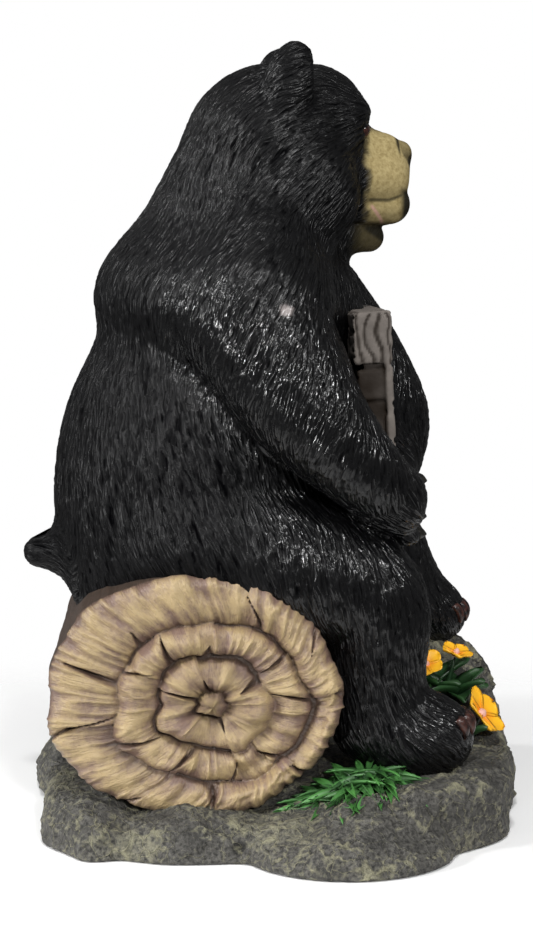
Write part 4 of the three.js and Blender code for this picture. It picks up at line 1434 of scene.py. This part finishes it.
def blade(length, width, cup, bend, thick, rows=10, columns=6, point=0.6):
    """A closed leaf along +Y: points, faces and each point's share of the length."""
    points, shares = [], []
    for i in range(rows + 1):
        u = i / rows
        wide = width * (0.08 + 0.92 * math.sin(math.pi * u ** point) ** 0.75)
        for j in range(columns + 1):
            v = 2 * j / columns - 1
            rise = cup * width * v * v + bend * length * u * u
            points.append((0.5 * wide * v, length * u, rise))
            shares.append(u)
    lower = {}
    for i in range(1, rows):
        for j in range(1, columns):
            x, y, z = points[i * (columns + 1) + j]
            v = 2 * j / columns - 1
            lower[i, j] = len(points)
            points.append((x, y, z - thick * (1 - v * v)))
            shares.append(i / rows)
    faces = []
    for i in range(rows):
        for j in range(columns):
            upper = [(i, j), (i, j + 1), (i + 1, j + 1), (i + 1, j)]
            faces.append(tuple(a * (columns + 1) + b for a, b in upper))
            faces.append(tuple(lower.get(k, k[0] * (columns + 1) + k[1]) for k in reversed(upper)))
    return np.array(points), faces, np.array(shares)


def turned(points, way, up):
    """Points with +Y along way and +Z towards up."""
    y = unit(np.asarray(way, dtype=float))
    x = unit(np.cross(y, up))
    return points @ np.stack([x, y, np.cross(x, y)])


# Flowers: place, petal length, then the way the flower faces; places and ways are across, forward, up
FLOWERS = [
    ((5, 54.5, 44.5), 6.4, (-0.62, -0.1, 0.78)), ((9, 65.5, 47.5), 5.8, (-0.2, 0.25, 0.95)),
    ((-8, 71.5, 30.5), 9.4, (-0.36, 0.72, 0.6)),
]
PETALS = 5
# Clumps of leaves: place across, forward, up, then how many and how long
LEAF_CLUMPS = [((13, 56, 33), 8, 17), ((10, 65, 32), 8, 16), ((2, 58, 22), 7, 15), ((-9, 64, 20), 6, 12)]


def leaf_paint(name, dark, light):
    """Satin green enamel, darker at a blade's root than at its tip, each blade in its own shade."""
    made, tree, shader = material(name)
    names = ("length_share", "shade")
    along, shade = [node(tree, "ShaderNodeAttribute", {"attribute_name": name}, "Fac") for name in names]
    share = node(tree, "ShaderNodeMapRange", Value=along, From_Min=0.05, From_Max=0.8)
    tone = node(tree, "ShaderNodeMapRange", Value=shade, To_Min=0.1, To_Max=1.0)
    both = node(tree, "ShaderNodeMath", {"operation": "MULTIPLY"}, i0=share, i1=tone)
    colour = node(tree, *COLOUR_MIX, i0=both, i6=tuple(dark), i7=tuple(light))
    tree.links.new(colour, shader.inputs["Base Color"])
    shader.inputs["Roughness"].default_value = 0.45
    return made


def petal_paint(colours):
    """Satin yellow enamel that turns orange at the petals' roots, with pale pink hearts."""
    made, tree, shader = material("satin_yellow_enamel_petal")
    names = ("length_share", "heart")
    along, heart = [node(tree, "ShaderNodeAttribute", {"attribute_name": name}, "Fac") for name in names]
    share = node(tree, "ShaderNodeMapRange", Value=along, From_Min=0.15, From_Max=0.6)
    colour = node(tree, *COLOUR_MIX, i0=share, i6=tuple(colours.petal_root), i7=tuple(colours.petal))
    colour = node(tree, *COLOUR_MIX, i0=heart, i6=colour, i7=tuple(colours.petal_heart))
    tree.links.new(colour, shader.inputs["Base Color"])
    shader.inputs["Roughness"].default_value = 0.42
    return made


class FIGURINE_OT_flowers(bpy.types.Operator):
    """Builds the yellow flowers and the dark leaves round them"""
    bl_idname = "figurine.flowers"
    bl_label = "Flowers and Leaves"

    def execute(self, context):
        _, colours = settings()
        petals, along, heart = [], [], []
        greens, green_along = [], []
        for number, (middle, length, way) in enumerate(FLOWERS):
            centre = place(*middle)
            facing = unit(place(*way))
            side = unit(np.cross(facing, (1, 0, 0)))
            other = np.cross(facing, side)
            for k in range(PETALS):
                a = 2 * math.pi * (k + 0.3 * number) / PETALS
                way = math.cos(a) * side + math.sin(a) * other + 0.2 * facing
                points, faces, shares = blade(length, length * 0.95, 0.08, 0.05, 0.9, 10, 8, 1.5)
                petals.append((centre + turned(points, way, facing), faces))
                along.append(shares)
                heart.append(np.zeros(len(shares)))
            points, faces = swept_horn(centre - facing * 1.0, centre + facing * 1.9, 0.0, length * 0.24)
            petals.append((points, faces))
            along.append(np.zeros(len(points)))
            heart.append(np.ones(len(points)))
            root = centre + place(4, -6, 6 - middle[2])
            points, faces = swept_horn(root, centre, 1.2, 1.5)
            greens.append((points, faces))
            green_along.append(np.full(len(points), 0.2))
        points, faces = gathered(petals)
        marks = {"length_share": np.concatenate(along), "heart": np.concatenate(heart)}
        new_piece("flowers", points, faces, "petal_paint", petal_paint(colours), marks)
        rng = np.random.default_rng(SEED)
        for spot, count, reach in LEAF_CLUMPS:
            for k in range(count):
                a = 2 * math.pi * (k + rng.uniform(-0.3, 0.3)) / count
                way = place(math.cos(a), math.sin(a), rng.uniform(0.5, 1.5))
                length = reach * rng.uniform(0.75, 1.15)
                points, faces, shares = blade(length, 0.5 * length, 0.2, -0.35, 1.2, 10, 6, 0.85)
                greens.append((place(*spot) + turned(points, way, (0, 0, 1)), faces))
                green_along.append(shares)
        points, faces = gathered(greens)
        shares = np.concatenate(green_along)
        marks = {"length_share": shares, "shade": np.full(len(shares), 0.06)}
        green = leaf_paint("dark_green_enamel_leaf", colours.grass_dark, colours.grass)
        new_piece("leaves", points, faces, "grass_paint", green, marks)
        return {"FINISHED"}


def clump_tree():
    """Geometry nodes that scatter leaning blades over a mound and keep the mound."""
    tree = bpy.data.node_groups.new("grass_clump", "GeometryNodeTree")
    face = tree.interface
    face.new_socket("Geometry", in_out="INPUT", socket_type="NodeSocketGeometry")
    face.new_socket("Blade", in_out="INPUT", socket_type="NodeSocketObject")
    face.new_socket("Density", in_out="INPUT", socket_type="NodeSocketFloat")
    face.new_socket("Seed", in_out="INPUT", socket_type="NodeSocketInt")
    face.new_socket("Material", in_out="INPUT", socket_type="NodeSocketMaterial")
    face.new_socket("Geometry", in_out="OUTPUT", socket_type="NodeSocketGeometry")
    given = node(tree, "NodeGroupInput").node.outputs
    spots = node(
        tree, "GeometryNodeDistributePointsOnFaces", Mesh=given["Geometry"], Density=given["Density"],
        Seed=given["Seed"])
    shape = node(tree, "GeometryNodeObjectInfo", None, "Geometry", Object=given["Blade"])
    spin = node(
        tree, "FunctionNodeRandomValue", {"data_type": "FLOAT_VECTOR"}, 0, i0=(0.3, -0.7, 0.0),
        i1=(1.2, 0.7, 6.283), Seed=given["Seed"])
    size = node(tree, "FunctionNodeRandomValue", None, 1, i2=0.5, i3=1.0, Seed=given["Seed"])
    tone = node(tree, "FunctionNodeRandomValue", None, 1, i2=0.0, i3=1.0, Seed=given["Seed"])
    blades = node(
        tree, "GeometryNodeInstanceOnPoints", Points=spots, Instance=shape, Rotation=spin, Scale=size)
    toned = node(
        tree, "GeometryNodeStoreNamedAttribute", {"data_type": "FLOAT", "domain": "INSTANCE"},
        Geometry=blades, Name="shade", Value=tone)
    both = node(tree, "GeometryNodeJoinGeometry", Geometry=toned)
    tree.links.new(given["Geometry"], both.node.inputs[0])
    whole = node(tree, "GeometryNodeRealizeInstances", Geometry=both)
    painted = node(tree, "GeometryNodeSetMaterial", Geometry=whole, Material=given["Material"])
    node(tree, "NodeGroupOutput", Geometry=painted)
    return tree


GRASS_MOUND = {"across": -53, "forward": 27, "sunk": 2.5, "half_across": 8, "half_forward": 17, "tall": 6}


class FIGURINE_OT_grass(bpy.types.Operator):
    """Scatters the clump of grass beside the foot"""
    bl_idname = "figurine.grass"
    bl_label = "Grass"

    def execute(self, context):
        sizes, colours = settings()
        green = leaf_paint("light_green_enamel_grass", colours.grass_dark, colours.grass)
        points, faces, shares = blade(9, 2.6, 0.6, -1.2, 0.7, 9, 4, 1.3)
        one = self.loose("grass_blade", points, faces, shares)
        mound = GRASS_MOUND
        rings, sides = 7, 24
        points = []
        for i in range(rings):
            t = (i + 1) / rings
            for k in range(sides):
                a = 2 * math.pi * k / sides
                up = mound["tall"] * (1 - t * t) - 1.0
                forward = mound["forward"] + mound["half_forward"] * t * math.sin(a)
                across = mound["across"] + mound["half_across"] * t * math.cos(a)
                points.append(place(across, forward, base_top(across, forward) - mound["sunk"] + up))
        points, faces = gathered([(points, ring_faces(rings, sides))])
        clump = self.loose("grass", points, faces, np.zeros(len(points)))
        tree = clump_tree()
        change = clump.modifiers.new("clump", "NODES")
        change.node_group = tree
        area = math.pi * mound["half_across"] * mound["half_forward"] * 2.1 * MM * MM
        wanted = {"Blade": one, "Density": sizes.grass_blades / area, "Seed": SEED, "Material": green}
        for item in tree.interface.items_tree:
            if item.in_out == "INPUT" and item.name in wanted:
                change[item.identifier] = wanted[item.name]
        evaluated = clump.evaluated_get(bpy.context.evaluated_depsgraph_get())
        mesh = bpy.data.meshes.new_from_object(evaluated)
        clump.modifiers.remove(change)
        clump.data = mesh
        bpy.data.objects.remove(one)
        settle(clump)
        return {"FINISHED"}

    def loose(self, name, points, faces, shares):
        mesh = bpy.data.meshes.new(name)
        mesh.from_pydata([tuple(p) for p in np.asarray(points) * MM], [], faces)
        layer = mesh.attributes.new("length_share", "FLOAT", "POINT")
        layer.data.foreach_set("value", np.asarray(shares, dtype=np.float32))
        mesh.shade_smooth()
        made = bpy.data.objects.new(name, mesh)
        bpy.context.scene.collection.objects.link(made)
        return made


# The stage

# The camera's place in metres; it stands a little behind the bear's side and looks slightly down
CAMERA_DISTANCE = 0.620
CAMERA_UP = 0.183
CAMERA_BEHIND = math.radians(3)
CAMERA_DOWN = math.atan(207.5 / 1879)
CAMERA_LENS = 73.13
# Soft lamps: name, place in metres, size in metres, watts; all point at the same spot
LAMP_AIM = (0, 0, 0.11)
LAMPS = [
    ("key", (-0.93, -0.14, 0.45), 0.08, 4.6),
    ("left", (-0.42, 0.82, 0.52), 0.09, 4.2),
    ("low_left", (-0.36, 0.9, 0.12), 0.09, 4.6),
    ("back", (0.12, 0.85, 0.75), 0.16, 3.0),
    ("top", (-0.6, 0.05, 1.0), 0.12, 5.6),
    ("front", (-0.6, -0.75, 0.6), 0.16, 2.5),
]
# Even light from the ceiling: the way it shines, its strength and the angle it comes from, in degrees
CEILING_WAY, CEILING_LIGHT, CEILING_ANGLE = (0.35, 0.0, -1.0), 0.4, 50
WORLD_LIGHT = 0.13
# The floor fades into the backdrop between these distances from the middle, in metres
FLOOR_NEAR, FLOOR_FAR = 0.1, 0.26


class FIGURINE_OT_stage(bpy.types.Operator):
    """Sets the floor, the soft lamps and the camera"""
    bl_idname = "figurine.stage"
    bl_label = "Stage"

    def execute(self, context):
        scene = context.scene
        made, tree, shader = material("matt_white_paper_floor")
        shader.inputs["Base Color"].default_value = linear("#f4f4f4")
        shader.inputs["Roughness"].default_value = 0.9
        at = node(tree, "ShaderNodeTexCoord", None, "Object")
        away = node(tree, "ShaderNodeVectorMath", {"operation": "LENGTH"}, "Value", i0=at)
        shown = node(
            tree, "ShaderNodeMapRange", {"interpolation_type": "SMOOTHSTEP"}, Value=away, From_Min=FLOOR_NEAR,
            From_Max=FLOOR_FAR, To_Min=1.0, To_Max=0.0)
        tree.links.new(shown, shader.inputs["Alpha"])
        mesh = bpy.data.meshes.new("floor")
        sides = 96
        rim = [2 * math.pi * k / sides for k in range(sides)]
        mesh.from_pydata(
            [(FLOOR_FAR * math.cos(a), FLOOR_FAR * math.sin(a), 0) for a in rim], [], [tuple(range(sides))])
        mesh.materials.append(made)
        floor = bpy.data.objects.new("floor", mesh)
        scene.collection.objects.link(floor)
        middle = Vector(LAMP_AIM)
        for name, spot, size, watts in LAMPS:
            lamp = bpy.data.lights.new(name, "AREA")
            lamp.shape = "DISK"
            lamp.size = size
            lamp.energy = watts
            stand = bpy.data.objects.new(name, lamp)
            stand.location = spot
            stand.rotation_euler = (middle - Vector(spot)).to_track_quat("-Z", "Y").to_euler()
            scene.collection.objects.link(stand)
        ceiling = bpy.data.lights.new("ceiling", "SUN")
        ceiling.energy = CEILING_LIGHT
        ceiling.angle = math.radians(CEILING_ANGLE)
        stand = bpy.data.objects.new("ceiling", ceiling)
        stand.rotation_euler = Vector(CEILING_WAY).to_track_quat("-Z", "Y").to_euler()
        scene.collection.objects.link(stand)
        world = bpy.data.worlds.new("white_studio")
        world.use_nodes = True
        tree = world.node_tree
        # The backdrop is white to the eye and dim as a light
        seen = node(tree, "ShaderNodeLightPath", None, "Is Camera Ray")
        strength = node(tree, "ShaderNodeMix", {"data_type": "FLOAT"}, 0, i0=seen, i2=WORLD_LIGHT, i3=1.0)
        tree.nodes["Background"].inputs["Color"].default_value = (1, 1, 1, 1)
        tree.links.new(strength, tree.nodes["Background"].inputs["Strength"])
        scene.world = world
        scene.view_settings.view_transform = "Standard"
        camera = bpy.data.cameras.new("camera")
        camera.lens = CAMERA_LENS
        camera.sensor_width = 36
        camera.clip_start = 0.01
        stand = bpy.data.objects.new("camera", camera)
        spread, drop = CAMERA_DISTANCE, math.sin(CAMERA_DOWN)
        stand.location = (-spread * math.cos(CAMERA_BEHIND), spread * math.sin(CAMERA_BEHIND), CAMERA_UP)
        level = math.cos(CAMERA_DOWN)
        look = Vector((level * math.cos(CAMERA_BEHIND), -level * math.sin(CAMERA_BEHIND), -drop))
        stand.rotation_euler = look.to_track_quat("-Z", "Y").to_euler()
        scene.collection.objects.link(stand)
        scene.camera = stand
        return {"FINISHED"}


# The add-on

STEPS = ("bear", "claws_and_eyes", "log", "rock", "board", "flowers", "grass", "stage")


class FIGURINE_PT_panel(bpy.types.Panel):
    """Shows the figurine's steps, sizes and colours"""
    bl_idname = "FIGURINE_PT_panel"
    bl_label = "Cast Bear Figurine"
    bl_space_type = "VIEW_3D"
    bl_region_type = "UI"
    bl_category = "Figurine"

    def draw(self, context):
        for step_name in STEPS:
            self.layout.operator("figurine." + step_name)
        for group in settings():
            for name in group.__annotations__:
                self.layout.prop(group, name)


CLASSES = (
    FigurineSizes, FigurineColours, FIGURINE_OT_bear, FIGURINE_OT_claws_and_eyes, FIGURINE_OT_log,
    FIGURINE_OT_rock, FIGURINE_OT_board, FIGURINE_OT_flowers, FIGURINE_OT_grass, FIGURINE_OT_stage,
    FIGURINE_PT_panel,
)


def register():
    for cls in CLASSES:
        bpy.utils.register_class(cls)
    bpy.types.Scene.figurine_sizes = PointerProperty(type=FigurineSizes)
    bpy.types.Scene.figurine_colours = PointerProperty(type=FigurineColours)


def unregister():
    del bpy.types.Scene.figurine_sizes
    del bpy.types.Scene.figurine_colours
    for cls in reversed(CLASSES):
        bpy.utils.unregister_class(cls)


def main():
    register()
    for step_name in STEPS:
        getattr(bpy.ops.figurine, step_name)()


if __name__ == "__main__":
    main()
